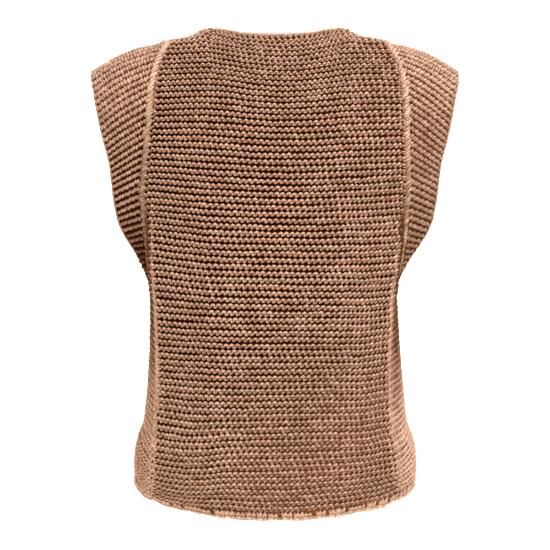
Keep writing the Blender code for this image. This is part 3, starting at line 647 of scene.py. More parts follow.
def fill(tree, made, inputs):
    """Sets a node's inputs; each is a value or another node's socket."""
    for key, value in inputs.items():
        if isinstance(value, bpy.types.NodeSocket):
            tree.links.new(value, made.inputs[key])
        else:
            made.inputs[key].default_value = value
    return made


def node(tree, kind, inputs=None, **settings):
    """A shader node with its settings and inputs."""
    made = tree.nodes.new(kind)
    for key, value in settings.items():
        setattr(made, key, value)
    return fill(tree, made, inputs or {})


def math(tree, operation, *values):
    """One step of arithmetic on values and sockets."""
    return node(tree, "ShaderNodeMath", dict(enumerate(values)), operation=operation).outputs[0]


def noise(tree, scale, detail):
    """Noise in the piece's own place."""
    place = node(tree, "ShaderNodeTexCoord").outputs["Object"]
    inputs = {"Vector": place, "Scale": scale, "Detail": detail}
    return node(tree, "ShaderNodeTexNoise", inputs).outputs["Fac"]


def yarn_tone(tree):
    """How light a point's yarn is: 0.5 is plain."""
    return node(tree, "ShaderNodeAttribute", attribute_name="tone").outputs["Fac"]


def yarn_place(tree):
    """How far along the yarn and round it a point lies; on the cloth, across it and up."""
    uv = node(tree, "ShaderNodeUVMap", uv_map="yarn").outputs[0]
    parts = node(tree, "ShaderNodeSeparateXYZ", {"Vector": uv})
    return parts.outputs[0], parts.outputs[1]


def new_group(name, inputs, outputs):
    """An empty node group with its sockets: (tree, its input node, its output node)."""
    tree = bpy.data.node_groups.new(name, "ShaderNodeTree")
    for in_out, sockets in (("INPUT", inputs), ("OUTPUT", outputs)):
        for label, kind in sockets:
            tree.interface.new_socket(label, in_out=in_out, socket_type=kind)
    return tree, tree.nodes.new("NodeGroupInput"), tree.nodes.new("NodeGroupOutput")


def new_material(name):
    """A new material and its node tree."""
    material = bpy.data.materials.new(name)
    material.use_nodes = True
    return material, material.node_tree


def make_yarn_colour():
    """Spun yarn: each stitch a little lighter or darker, soft patches, fine fibres, painted shade on the
    low ends.
    """
    tree, given, result = new_group(
        "yarn colour",
        (("Light", "NodeSocketColor"), ("Dark", "NodeSocketColor"), ("Depth", "NodeSocketFloat")),
        (("Color", "NodeSocketColor"),),
    )
    patches = noise(tree, 14.0, 3.0)  # some centimetres wide
    fibres = noise(tree, 900.0, 3.0)  # about a millimetre long
    tone = yarn_tone(tree)
    # painted shade: an arc's two ends lie deepest and go toward the dark colour, and so do low tones
    low = math(tree, "ABSOLUTE", math(tree, "MULTIPLY_ADD", yarn_place(tree)[0], 2.0, -1.0))
    low = math(tree, "MULTIPLY", math(tree, "POWER", low, 1.15), given.outputs["Depth"])
    low = math(tree, "ADD", low, math(tree, "MULTIPLY_ADD", tone, -0.30, 0.15))
    # patches, fibres and tone each make it lighter or darker round 1
    shade = math(tree, "MULTIPLY_ADD", patches, 0.20, 0.90)
    shade = math(tree, "MULTIPLY", shade, math(tree, "MULTIPLY_ADD", fibres, 0.9, 0.55))
    shade = math(tree, "MULTIPLY", shade, math(tree, "MULTIPLY_ADD", tone, 0.16, 0.92))
    colours = {0: low, 6: given.outputs["Light"], 7: given.outputs["Dark"]}
    mixed = node(tree, "ShaderNodeMix", colours, data_type="RGBA", clamp_factor=True).outputs[2]
    scaled = node(tree, "ShaderNodeVectorMath", {0: mixed, "Scale": shade}, operation="SCALE")
    tree.links.new(scaled.outputs[0], result.inputs[0])
    return tree


def make_yarn_relief():
    """The plies twisted round each other and the loose fibres over them, as a height."""
    tree, _, result = new_group("yarn relief", (), (("Height", "NodeSocketFloat"),))
    along, round_it = yarn_place(tree)
    turn = math(tree, "MULTIPLY_ADD", along, 3.0, math(tree, "MULTIPLY", round_it, 2.0))
    plies = math(tree, "ABSOLUTE", math(tree, "SINE", math(tree, "MULTIPLY", turn, np.pi)))
    fibres = noise(tree, 1400.0, 2.0)
    height = math(tree, "MULTIPLY_ADD", fibres, 0.8, math(tree, "MULTIPLY", plies, 0.5))
    tree.links.new(height, result.inputs[0])
    return tree


yarn_colour = make_yarn_colour()
yarn_relief = make_yarn_relief()


def yarn_material(name, light, dark, depth=1.0, sheen=0.12, relief=yarn_relief, high=0.00045):
    """Matt wool-look yarn. depth is how much painted shade its low ends have, high how far its relief
    stands out.
    """
    material, tree = new_material(name)
    colours = {"Light": (*light, 1), "Dark": (*dark, 1), "Depth": depth}
    colour = node(tree, "ShaderNodeGroup", colours, node_tree=yarn_colour)
    height = node(tree, "ShaderNodeGroup", node_tree=relief).outputs[0]
    bumps = node(tree, "ShaderNodeBump", {"Height": height, "Distance": high, "Strength": 1.0})
    fill(tree, tree.nodes["Principled BSDF"], {
        "Base Color": colour.outputs[0],
        "Normal": bumps.outputs[0],
        "Roughness": 0.9,
        "Specular IOR Level": 0.2,
        "Sheen Weight": sheen,
        "Sheen Roughness": 0.4,
        "Sheen Tint": (1.0, 0.66, 0.42, 1),
    })
    return material


# The yarn's own colour, and the colour of the painted shade it goes to at its low ends and low tones.
LIGHT_YARN = (0.556, 0.388, 0.300)
SHADED_YARN = (0.200, 0.052, 0.009)
knit_yarn = yarn_material("knit yarn", LIGHT_YARN, SHADED_YARN)
edge_yarn = yarn_material("edge yarn", LIGHT_YARN, SHADED_YARN, depth=0.0)

# The ground's painted shade: its darkest colours, with noise between them, and its palest.
GROUND_DEEP_SHADE = ((0.012, 0.0015, 0.0003, 1), (0.040, 0.008, 0.002, 1))
GROUND_LEAST_SHADE = (0.33, 0.150, 0.068, 1)  # where the tone is 1


def make_ground():
    """The ground between the ridges, dark with painted shade that grows paler toward their crests."""
    ground, tree = new_material("knit ground")
    ramp = node(tree, "ShaderNodeValToRGB", {"Fac": noise(tree, 500.0, 2.0)})
    for element, colour in zip(ramp.color_ramp.elements, GROUND_DEEP_SHADE):
        element.color = colour
    colours = {0: math(tree, "POWER", yarn_tone(tree), 2.2), 6: ramp.outputs[0], 7: GROUND_LEAST_SHADE}
    mixed = node(tree, "ShaderNodeMix", colours, data_type="RGBA").outputs[2]
    fill(tree, tree.nodes["Principled BSDF"], {
        "Base Color": mixed, "Roughness": 1.0, "Specular IOR Level": 0.0,
    })
    return ground


def make_inner_relief():
    """Garter ridges' bumps on the plain inner face: heads at whole stitches, loops half a stitch on."""
    tree, _, result = new_group("inner relief", (), (("Height", "NodeSocketFloat"),))
    across, up = yarn_place(tree)
    half = math(tree, "MULTIPLY", math(tree, "FLOOR", math(tree, "MULTIPLY", up, 2.0)), 0.5)
    bumps = math(tree, "COSINE", math(tree, "MULTIPLY", math(tree, "ADD", across, half), 2 * np.pi))
    fibres = math(tree, "MULTIPLY", noise(tree, 900.0, 2.0), 0.4)
    tree.links.new(math(tree, "MULTIPLY_ADD", bumps, 0.5, fibres), result.inputs[0])
    return tree


ground_yarn = make_ground()
inner_yarn = yarn_material(
    "knit inner face", LIGHT_YARN, SHADED_YARN, depth=0.0, relief=make_inner_relief(), high=0.0014
)

# How far under the rows' surface the ground lies at each quarter of a ridge, and the tone of its painted
# shade there.
GROUND_DEPTH = (0.0023, 0.0010, -0.0002, 0.0010)
GROUND_TONE = (0.0, 0.30, 0.85, 0.30)
INNER_VALLEY, INNER_CREST = 0.0024, 0.0038  # how far under it the inner face lies


def quarters(grid):
    """The grid with a row halfway between each two."""
    fine = np.empty((2 * len(grid) - 1, *grid.shape[1:]))
    fine[::2] = grid
    fine[1::2] = (grid[1:] + grid[:-1]) / 2
    return fine


def both_faces(points, normals, ridges):
    """The ground's outer and inner face for rows of points that lie at these ridge numbers."""
    depth = np.resize(GROUND_DEPTH, len(points))[:, None, None]
    wave = (0.5 - 0.5 * np.cos(2 * np.pi * ridges))[:, None, None]
    inner_depth = INNER_VALLEY + (INNER_CREST - INNER_VALLEY) * wave
    return points - normals * depth, points - normals * inner_depth


def shell(parts, name, palest=0.80):
    """A thin closed cloth of (outer, inner, uv, first column's rim from this row) grids, welded.

    palest is the ground's tone, its palest painted shade, where the ridges lie closest.
    """
    bm = bmesh.new()
    uv_layer = bm.loops.layers.uv.new("yarn")
    tone = bm.verts.layers.float.new("tone")
    for outer, inner, uv, rim_from in parts:
        rows, columns = outer.shape[:2]
        o = [[bm.verts.new(p) for p in row] for row in drape(outer)]
        for i, row in enumerate(o):
            for vert in row:
                vert[tone] = GROUND_TONE[i % 4]
        n = [[bm.verts.new(p) for p in row] for row in drape(inner)]
        made = []  # each face's material, 0 outside and 1 inside, and its corners
        for i in range(rows - 1):
            for j in range(columns - 1):
                a = ((i, j), (i, j + 1), (i + 1, j + 1), (i + 1, j))
                made.append((0, [(o, c) for c in a]))
                made.append((1, [(n, c) for c in a[::-1]]))
        last = rows - 1
        for j in range(columns - 1):
            made.append((1, [(o, (0, j + 1)), (o, (0, j)), (n, (0, j)), (n, (0, j + 1))]))
            made.append((1, [(o, (last, j)), (o, (last, j + 1)), (n, (last, j + 1)), (n, (last, j))]))
        last = columns - 1
        for i in range(rows - 1):
            made.append((0, [(o, (i, last)), (n, (i, last)), (n, (i + 1, last)), (o, (i + 1, last))]))
            if rim_from is not None and i >= rim_from:
                made.append((1, [(o, (i, 0)), (o, (i + 1, 0)), (n, (i + 1, 0)), (n, (i, 0))]))
        for slot, corners in made:
            face = bm.faces.new([grid[i][j] for grid, (i, j) in corners])
            face.material_index = slot
            face.smooth = True
            for loop, (_, (i, j)) in zip(face.loops, corners):
                loop[uv_layer].uv = uv[i, j]
    bmesh.ops.remove_doubles(bm, verts=bm.verts, dist=1e-6)
    bmesh.ops.recalc_face_normals(bm, faces=bm.faces)
    mesh = bpy.data.meshes.new(name)
    bm.to_mesh(mesh)
    bm.free()
    points = np.array([vert.co for vert in mesh.vertices])
    tones = np.empty(len(points), np.float32)
    mesh.attributes["tone"].data.foreach_get("value", tones)
    # where the ridges lie close, the ground's painted shade is paler
    tones = np.maximum(tones, palest * closeness(points)).astype(np.float32)
    mesh.attributes["tone"].data.foreach_set("value", tones)
    mesh.materials.append(ground_yarn)
    mesh.materials.append(inner_yarn)
    obj = bpy.data.objects.new(name, mesh)
    bpy.context.scene.collection.objects.link(obj)
    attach(obj, "root")
    return obj


# The side folds' roundness and width are shares of half the panel's width.
FOLD_FADES = (44, 50)  # they die out between these rows
FOLD_ROLL = 0.05  # so far to both sides of the corner the cloth is rounded
FOLD_ROUNDED = {("back", 1): 1, ("back", -1): 3, ("front", 1): 2, ("front", -1): 2}  # so many times
FOLD_WIDTH = ((4, 14, 24), (0.038, 0.022, 0.012))  # by the row
FOLD_FULL, FOLD_HIGHLIGHT = 0.10, 0.7  # how much fuller the stitches in them are, and how much lighter with a painted highlight
# Beyond them the stitches are thinner, and by the row this much darker with painted shade; low down, where
# the number is below 0, lighter with painted light.
STRIP_AFTER, STRIP_SOFT = 0.01, 0.05  # this share after the corner the strip begins, over so much
STRIP_THIN = 0.06
STRIP_SHADE = ((12, 22, 31), (-1.2, 0.6, 2.6))
BY_THE_ARM = 0.1  # a row's end further out than this lies at the armhole
ROW_REACH = 0.0012  # along the armhole the last stitches lie partly under the seam
# How full the stitches are: plainly, where the ridges lie closest, and by the distance down.
FULL = 0.97
CLOSER = 0.25
FULLER_LOW = ((0.15, 0.26), (0, 0.08))
# How much darker the back's yarn is painted toward the right and the hem, as painted shade: the product of
# what each pair says for the distance to the right and the distance down.
SHADE_RIGHT = {"right": ((0, 0.13), (0, 0.30)), "down": ((0.33, 0.44), (1, 0.5))}
SHADE_LOW = {"right": ((-0.10, 0.0, 0.05, 0.12), (0, 1, 0.9, 0.7)), "down": ((0.30, 0.44), (0, 0.55))}


def fold_fade(row):
    """1 where a row has the side folds at their fullest, 0 above them."""
    return 1 - ease((row - FOLD_FADES[0]) / (FOLD_FADES[1] - FOLD_FADES[0]))


def half_panel(side, hand):
    """Dense base points and outward normals of half a panel, a row for every half ridge."""
    points, normals = panel_grid(side, hand, ROWS, COLUMNS)
    # the cloth turns the corner at the side fold in a soft roll
    near = bump(COLUMNS, FOLD_SHARE, FOLD_ROLL)[None, :, None] * fold_fade(ROWS)[:, None, None]
    for grid in (points, normals):
        for _ in range(FOLD_ROUNDED[side, hand]):
            rounded = (grid[:, :-2] + 2 * grid[:, 1:-1] + grid[:, 2:]) / 4
            grid[:, 1:-1] += (rounded - grid[:, 1:-1]) * near[:, 1:-1]
    off_the_seam(points, 1 if side == "back" else -1)
    return points, unit(normals)


def panel_halves(side):
    """Both halves, the left as seen from outside first. All columns run from left to right."""
    hands = (1, -1) if side == "back" else (-1, 1)
    left, right = (half_panel(side, hand) for hand in hands)
    return tuple(grid[:, ::-1] for grid in left), right


def whole(left, right):
    """Both halves' columns from left to right, with the middle one once."""
    return np.concatenate([left, right[:, 1:]], axis=1)


def both_ways(values):
    """Values for the columns of one half, from the middle out, as values for both halves."""
    return np.concatenate([values[::-1], values[1:]])


def in_shade(points):
    """How much painted shade darkens the yarn toward the right and the hem, as seen from behind."""
    right, down = -points[..., 0], -points[..., 2]
    return sum(
        np.interp(right, *shade["right"]) * np.interp(down, *shade["down"])
        for shade in (SHADE_RIGHT, SHADE_LOW)
    )


def panel_runs(side, halves, first, last):
    """The stitches of the ridges first to last. Above the front neck's lowest point they fall in two."""
    runs = []
    left, right = halves[0][0], halves[1][0]
    beyond = ease((COLUMNS - FOLD_SHARE - STRIP_AFTER) / STRIP_SOFT)
    for ridge in range(first, last):
        rows = slice(2 * ridge, 2 * ridge + 3)
        row = ROWS[2 * ridge + 1]
        at_fold = bump(COLUMNS, FOLD_SHARE, np.interp(row, *FOLD_WIDTH))
        plump = 1 + fold_fade(row) * (FOLD_FULL * at_fold - STRIP_THIN * beyond)
        # a painted highlight on the side folds, and painted shade on the strip beyond them
        pale = fold_fade(row) * (FOLD_HIGHLIGHT * at_fold - beyond * np.interp(row, *STRIP_SHADE))
        if side == "front" and row > NECK_DROP_ROW:
            pieces = ((left[rows], plump[::-1], pale[::-1]), (right[rows], plump, pale))
        else:
            pieces = ((whole(left[rows], right[rows]), both_ways(plump), both_ways(pale)),)
        for grid, wide, light in pieces:
            light = light - in_shade(grid[1]) * (side == "back")
            if row > UNDERARM_ROW:
                grid = grid.copy()
                for end, inner in ((0, 1), (-1, -2)):
                    if abs(grid[1, end, 0]) > BY_THE_ARM:
                        grid[:, end] += unit(grid[:, end] - grid[:, inner]) * ROW_REACH
            full = FULL + CLOSER * closeness(grid[1]) + np.interp(-grid[1, :, 2], *FULLER_LOW)
            runs.append(stitches(*grid, plump=wide * full, pale=light))
    return runs


def panel_stitches(side, halves):
    """The panel's stitches, as a lower and an upper piece."""
    pieces = []
    for part, first, last in (("low", 2, 38), ("high", 38, RIDGES)):
        runs = panel_runs(side, halves, first, last)
        name = f"{side}_stitches_{part}"
        pieces.append(knitted(name, runs, STITCH_SHAPE, knit_yarn, shades=STITCH_SHADES))
    return pieces


def panel_shell(side, halves):
    """The panel's thin ground cloth, in the CAD panel's place."""
    parts = []
    ridges = quarters(HALF_RIDGES)
    for k, (points, out) in enumerate(halves):
        points, out = quarters(points[:, ::3]), quarters(out[:, ::3])
        outer, inner = both_faces(points, out, ridges)
        for grid in (outer, inner):
            off_the_seam(grid, 1 if side == "back" else -1)
        across = (run_along(points[RIDGES * 2]) / STITCH)[None]
        uv = np.stack(np.broadcast_arrays(across, ridges[:, None]), axis=-1)
        if k == 0:  # its columns end at the middle: turn them, so that the middle comes first
            outer, inner, uv = outer[:, ::-1], inner[:, ::-1], uv[:, ::-1]
        parts.append((outer, inner, uv, 2 * NECK_ROW if side == "front" else None))
    cloth = shell(parts, f"{side}_cloth")
    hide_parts(side)
    return cloth


back_halves = panel_halves("back")
back_cloth = panel_shell("back", back_halves)
back_stitches = panel_stitches("back", back_halves)

# Along the side folds the stitches are pulled into long strands that lie along the crease; they are lighter
# with a painted highlight.
FOLD_STRAND = strand(mm((0, -7.0, -1.2), (0.3, -3.0, 0.4), (-0.3, 3.0, 0.4), (0, 7.0, -1.2)), 0.00062)
FOLD_PLACES = (-0.65, -0.25, 0.1, 0.5)  # across the fold, as shares of its width
FOLD_OFF = 0.006  # their middle lies this share beyond the corner
FOLD_LIFT = 0.0016  # and this far out of the cloth
FOLD_THINS_FROM, FOLD_THINS = 30, 0.9  # from this row up they get thinner, by so much in the end
# how much lighter the strands are with the painted highlight, at the left and the right fold
FOLD_HIGHLIGHT_TONE = {"left": 1.7, "right": 0.7}
FOLD_DULL = 0.8  # how much of the painted highlight they lose at the crease's borders
FOLD_NARROW = {"left": 1, "right": 0.6}  # the right crease is narrower
# How uneven they are: shares across, metres up, the turn and the tone.
FOLD_UNEVEN = {"across": 0.003, "up": 0.0015, "turn": 0.06, "tone": 0.6}


def fold_strands(halves):
    """Strands along both side folds of the back."""
    frames = []
    for word, (points, out), columns in zip(("left", "right"), halves, (COLUMNS[::-1], COLUMNS)):
        order = np.argsort(columns)

        def read(grid, share):
            return read_at(share, columns[order], grid[order])

        for ridge in range(2, round(ridge_at(FOLD_FADES[1]))):
            row, k = ROWS[2 * ridge], 2 * ridge
            reach = np.interp(row, *FOLD_WIDTH) * FOLD_NARROW[word]
            thin = 1 - FOLD_THINS * ease((row - FOLD_THINS_FROM) / (FOLD_FADES[1] - FOLD_THINS_FROM))
            for place in FOLD_PLACES:
                share = FOLD_SHARE + FOLD_OFF + reach * place * thin + FOLD_UNEVEN["across"] * rng.normal()
                away = unit(read(out[k], share))
                up = unit(read(points[k + 2], share) - read(points[k - 2], share))
                middle = read(points[k], share) + away * FOLD_LIFT * thin
                middle = middle + up * FOLD_UNEVEN["up"] * rng.normal()
                up = unit(up + np.cross(up, away) * FOLD_UNEVEN["turn"] * rng.normal())
                along = np.cross(up, away)
                change = FOLD_UNEVEN["tone"] * np.clip(rng.normal(), -2, 2)
                tone = FOLD_HIGHLIGHT_TONE[word] - FOLD_DULL * place * place + change
                frames.append((middle, along * thin, up * NOMINAL_PITCH, away * thin, tone))
    runs = [tuple(np.array(part) for part in zip(*frames))]
    return knitted("back_folds", runs, FOLD_STRAND, edge_yarn)


fold_strands(back_halves)

# Stitches on the inside of the back, where the front's lower neck lets them show.
INSIDE_FROM, INSIDE_WIDE = 64, 0.5  # from this ridge up, and over this share of the width


def inside_runs(halves):
    """The stitches seen through the neck, from the inside."""
    (left, left_out), (right, right_out) = halves
    inside = whole(left, right) - whole(left_out, right_out) * INNER_VALLEY
    inside = inside[:, both_ways(COLUMNS) < INSIDE_WIDE][:, ::-1]
    return [stitches(*inside[2 * k : 2 * k + 3]) for k in range(INSIDE_FROM, RIDGES)]


knitted("back_inside", inside_runs(back_halves), STITCH_SHAPE, knit_yarn, shades=STITCH_SHADES)

# ==== the front panel ========================================================================
# The same garter stitch over the chest, with a round neck that is cut lower than the back's. It is
# made as the back is, but for the long strands along the side folds.

front_halves = panel_halves("front")
front_cloth = panel_shell("front", front_halves)
front_stitches = panel_stitches("front", front_halves)

# ==== the cast-on hem ========================================================================
# The first ridge of both panels, where the yarn was cast on: pairs of upright strands, two stitches
# apart, over a lip that rolls under.

HEM_UNIT = 2 * STITCH
# The pair's five strands: the radius, how much lighter it is, and its points in millimetres.
HEM_STRANDS = (
    (0.00135, 0.7, (-3.9, -2.2, -0.8), (-3.4, 0.8, 1.2), (-2.0, 3.2, 1.5), (-0.7, 1.2, 0.8),
     (-0.5, -1.6, -0.8)),
    (0.00145, 0.3, (1.6, -2.0, -0.8), (1.7, 1.0, 1.1), (3.1, 3.3, 1.6), (4.2, 1.2, 0.9), (4.6, -2.0, -0.7)),
    (0.00125, -0.5, (-6.6, 1.6, -0.6), (-5.6, 3.0, 1.0), (-4.7, 1.0, 0.9), (-4.3, -1.8, -0.8)),
    (0.00155, 0.8, (-5.2, -3.2, 0.2), (-2.4, -1.9, 1.6), (0.0, -2.6, 1.2), (1.2, -3.2, 0.0)),
    (0.00145, 0.3, (1.4, -3.3, 0.2), (3.4, -2.2, 1.4), (5.2, -2.9, 1.1), (6.2, -3.3, 0.0)),
)
HEM_SHAPE = together(*(strand(mm(*line), radius) for radius, _, *line in HEM_STRANDS))
HEM_SHADES = np.concatenate([np.full(4 * len(line), lighter) for _, lighter, *line in HEM_STRANDS])
HEM_TALL = 1.12  # they stand a little higher than a ridge
HEM_UNEVEN = {"along": 0.0020, "tall": 0.14}  # the cast-on loops are far from even
HEM_CORD, HEM_LUMPS = 0.0021, 0.16  # the rolled lip's radius, and how uneven it is
HEM_CORD_OFF = {"down": 0.0008, "in": 0.0003}  # how far off the first row it lies
hem_yarn = yarn_material("hem yarn", (0.60, 0.42, 0.325), (0.27, 0.13, 0.065), depth=0.5)
hem_lip = yarn_material("hem lip", (0.46, 0.30, 0.215), SHADED_YARN, depth=0.0)


def hem_runs(halves):
    """The pairs of strands along the first ridge, their shape drawn at its own width."""
    rows = whole(halves[0][0][0:5:2], halves[1][0][0:5:2])
    middle, along, up, out, tone = stitches(*rows, width=HEM_UNIT)
    stray, taller = (rng.normal(size=(len(middle), 1)) for _ in range(2))
    middle = middle + unit(along) * HEM_UNEVEN["along"] * stray.clip(-1.5, 1.5)
    up = up * (HEM_TALL + HEM_UNEVEN["tall"] * taller.clip(-2, 2))
    return [(middle, along * STITCH / HEM_UNIT, up, out, tone)]


RING_SIDES = 8


def ring_tube(name, line, side, out, radius, material, slot="knit", tone=0.5):
    """A closed ring of cord along a closed line, given the ways across it and out of it.

    radius is a pair: across and out, each one number or one for each point of the line, as tone is.
    """
    angle = (2 * np.pi * np.arange(RING_SIDES) / RING_SIDES)[None, :, None]
    wide, thick = (np.broadcast_to(r, len(line))[:, None, None] for r in radius)
    ring = line[:, None] + wide * np.cos(angle) * side[:, None]
    ring = ring + thick * np.sin(angle) * out[:, None]
    index = np.arange(len(line) * RING_SIDES).reshape(-1, RING_SIDES)
    after, beside = np.roll(index, -1, 0), np.roll(index, -1, 1)
    faces = np.stack([index, beside, np.roll(after, -1, 1), after], -1).reshape(-1, 4)
    i, j = np.arange(len(line)), np.arange(RING_SIDES)
    u = np.stack([i, i, i + 1, i + 1], -1)[:, None].repeat(RING_SIDES, 1) / 4
    v = np.stack([j, j + 1, j + 1, j], -1)[None].repeat(len(line), 0) / RING_SIDES
    tones = np.repeat(np.broadcast_to(tone, len(line)), RING_SIDES)
    obj = mesh_object(name, ring, faces, np.stack([u, v], -1), tones, material)
    bm = bmesh.new()
    bm.from_mesh(obj.data)
    bmesh.ops.recalc_face_normals(bm, faces=bm.faces)
    bm.to_mesh(obj.data)
    bm.free()
    return obj


hem_halves = (*back_halves, *front_halves)
hem_line = np.concatenate([points[0, :-1] for points, _ in hem_halves])
hem_up = np.concatenate([unit(points[1, :-1] - points[0, :-1]) for points, _ in hem_halves])
hem_out = np.concatenate([out[0, :-1] for _, out in hem_halves])
hem_bumps = np.convolve(rng.normal(size=len(hem_line) + 2), (0.5, 0.7, 0.5), "valid")
hem_radius = HEM_CORD * (1 + HEM_LUMPS * hem_bumps.clip(-2, 2))
hem_line = hem_line - hem_up * HEM_CORD_OFF["down"] - hem_out * HEM_CORD_OFF["in"]
ring_tube("hem_cord", hem_line, hem_up, hem_out, (hem_radius, hem_radius), hem_lip)
back_hem, front_hem = (
    knitted(f"{side}_hem", hem_runs(halves), HEM_SHAPE, hem_yarn, shades=HEM_SHADES)
    for side, halves in (("back", back_halves), ("front", front_halves))
)

# ==== the caps ===============================================================================
# A strip of garter stitch round each armhole, picked up there and sewn. Its ridges run out from the
# seam, and its two ends meet at the underarm. It is pulled so tight that each ridge shows as a row
# of slanting strands. Its outer edge is a knotted selvedge.

# The left cap's outer edge: how far it swings back and forward, and its x by height.
OPENING_DEPTH = {"back": 0.055, "front": 0.052}
OPENING = {
    "z": (-0.284, -0.262, -0.248, -0.232, -0.2195, -0.2055, -0.180, -0.141, -0.102, -0.065, -0.036),
    "x": (0.1522, 0.1576, 0.1630, 0.1715, 0.1783, 0.1835, 0.1880, 0.1921, 0.2018, 0.2098, 0.2166),
}
CAP_BULGE = 0.006  # the cap's crown over the shoulder
CAP_RIDGES = 78  # ridges round one armhole
CAP_SLANT = 0.012  # near the shoulder a ridge's outer end lies this share of the way round lower
CAP_SHARES = np.linspace(0, 1, 25)
CAP_TURNS = np.linspace(0, 1, 2 * CAP_RIDGES + 1)
CAP_WIDTH = 0.055  # over the shoulder
CAP_CORD, CAP_CORD_THICK = 0.0013, 1.15  # the selvedge's radius, and how much thicker it is outwards
CAP_CORD_OFF = {"in": 0.0002, "under": 0.0007}  # how far off the cap's edge it lies
CAP_CORD_NARROW, CAP_CORD_THINNEST = 0.016, 0.4  # it thins out where the cap is narrower than this
CAP_CORD_KNOTS, CAP_CORD_UNEVEN = 0.12, 0.05  # how much it swells at each ridge, and at random
CAP_TIP = 0.005  # a ridge shorter than this has no room for a stitch
# All by the distance down: how full the ridges are, because the gaps between them open toward the
# underarm, how much darker their yarn is with painted shade, and the same for the selvedge.
CAP_FULL = {
    "left": ((0.07, 0.12, 0.20, 0.25), (0.96, 0.84, 0.80, 0.74)),
    "right": ((0.10, 0.20), (0.96, 0.90)),
}
CAP_SHADE = {
    "left": ((0.03, 0.10, 0.16, 0.20, 0.26), (0.25, 0.6, 0.6, 0.9, 2.6)),
    "right": ((0.03, 0.10, 0.24), (0, 0.9, 0.8)),
}
EDGE_SHADE = ((0.10, 0.20, 0.25), (0.2, 1.0, 2.4))
CAP_CLOSER = 0.20  # how much fuller the ridges are where they lie closest
cap_yarn = yarn_material("cap yarn", LIGHT_YARN, SHADED_YARN, depth=0.65)
OPENING_LINE = loop_line(OPENING, OPENING_DEPTH)


def bar(shift, up):
    """Half a stitch of a tightly pulled ridge: a strand straight over it."""
    line = mm((-0.7, -2.4, -1.0), (-0.4, -1.2, 1.1), (0.4, 1.2, 1.3), (0.7, 2.4, -1.0))
    return strand(line + mm(shift, up, 0), 0.00175 * np.array((0.75, 1, 1, 0.75)))


TIGHT_SHAPE = together(bar(-1.65, 0.35), bar(1.65, -0.35))
# painted light and shade: each stitch's first, higher strand lighter, its second, lower one darker
TIGHT_SHADES = np.repeat((0.15, -0.25), len(TIGHT_SHAPE[0]) // 2)


def cap_points(turns, columns):
    """Points of the left cap: a row for each turn, its columns as shares of the way outwards."""
    middle, along, _, out = seam_frame(turns)
    a = 2 * np.pi * turns
    over = np.maximum(-np.cos(a), 0)
    edge = on_loop(OPENING_LINE, turns - 2 * CAP_SLANT * np.sin(a) * over)
    start = middle + unit(square_to(along, edge - middle)) * seam_half(turns)
    share = columns[None, :, None]
    crown = np.sin(np.pi * share) * (over[:, None, None] * CAP_BULGE) * out[:, None]
    return start[:, None] * (1 - share) + edge[:, None] * share + crown


def cap_grid(hand, turns, columns):
    """Base points and outward normals of a cap: a row for each turn, from the seam outwards."""
    points = cap_points(turns, columns)
    small = 2e-3  # how far round the neighbours lie that give the way round
    round_it = cap_points(turns + small, columns) - cap_points(turns - small, columns)
    a = 2 * np.pi * turns
    away = np.stack([0 * a + 0.1, np.sin(a), -np.cos(a)], axis=-1)[:, None]
    normals = facing(away, unit(np.cross(np.gradient(points, axis=1), round_it)))
    # at the seam the cloth stands square to it
    middle, along, _, _ = seam_frame(turns)
    normals[:, 0] = facing(normals[:, 0], unit(np.cross(points[:, 0] - middle, along)))
    return points * (hand, 1, 1), normals * (hand, 1, 1)


def cap_stitches(word, points, flip):
    """The ridges as slanting strands."""
    rows = points[::-1] if flip else points
    runs = []
    for k in range(CAP_RIDGES):
        ridge = rows[2 * k : 2 * k + 3].copy()
        ridge[:, -1] = (ridge[:, -1] + ridge[:, -2]) / 2
        if np.linalg.norm(ridge[1, -1] - ridge[1, 0]) < CAP_TIP:
            continue
        down = -ridge[1, :, 2]
        full = np.interp(down, *CAP_FULL[word]) + CAP_CLOSER * closeness(ridge[1])
        shade = np.interp(down, *CAP_SHADE[word])
        runs.append(stitches(*ridge, plump=full, pale=-shade, lean=0.0, phase=0.0))
    return knitted(f"cap_stitches_{word}", runs, TIGHT_SHAPE, cap_yarn, shades=TIGHT_SHADES)


def cap_edge(word, hand):
    """The selvedge, which swells a little at the end of each ridge."""
    turns = np.arange(4 * CAP_RIDGES) / (4 * CAP_RIDGES)
    line, away = cap_grid(hand, turns, CAP_SHARES[-3:])
    across, line, away = unit(line[:, -1] - line[:, 0]), line[:, -1], away[:, -1]
    width = np.linalg.norm(line - on_loop(ARMHOLE_LINE, turns) * (hand, 1, 1), axis=-1)
    radius = CAP_CORD * np.clip(width / CAP_CORD_NARROW, CAP_CORD_THINNEST, 1)
    knots = 1 - CAP_CORD_KNOTS * np.cos(2 * np.pi * (turns * CAP_RIDGES))
    radius = radius * (knots + CAP_CORD_UNEVEN * rng.normal(size=len(turns)))
    middle = line - across * CAP_CORD_OFF["in"] - away * CAP_CORD_OFF["under"]
    tone = 0.5 - np.interp(-line[:, 2], *EDGE_SHADE)
    radius = (radius, radius * CAP_CORD_THICK)
    return ring_tube(f"cap_edge_{word}", middle, across, away, radius, edge_yarn, tone=tone)


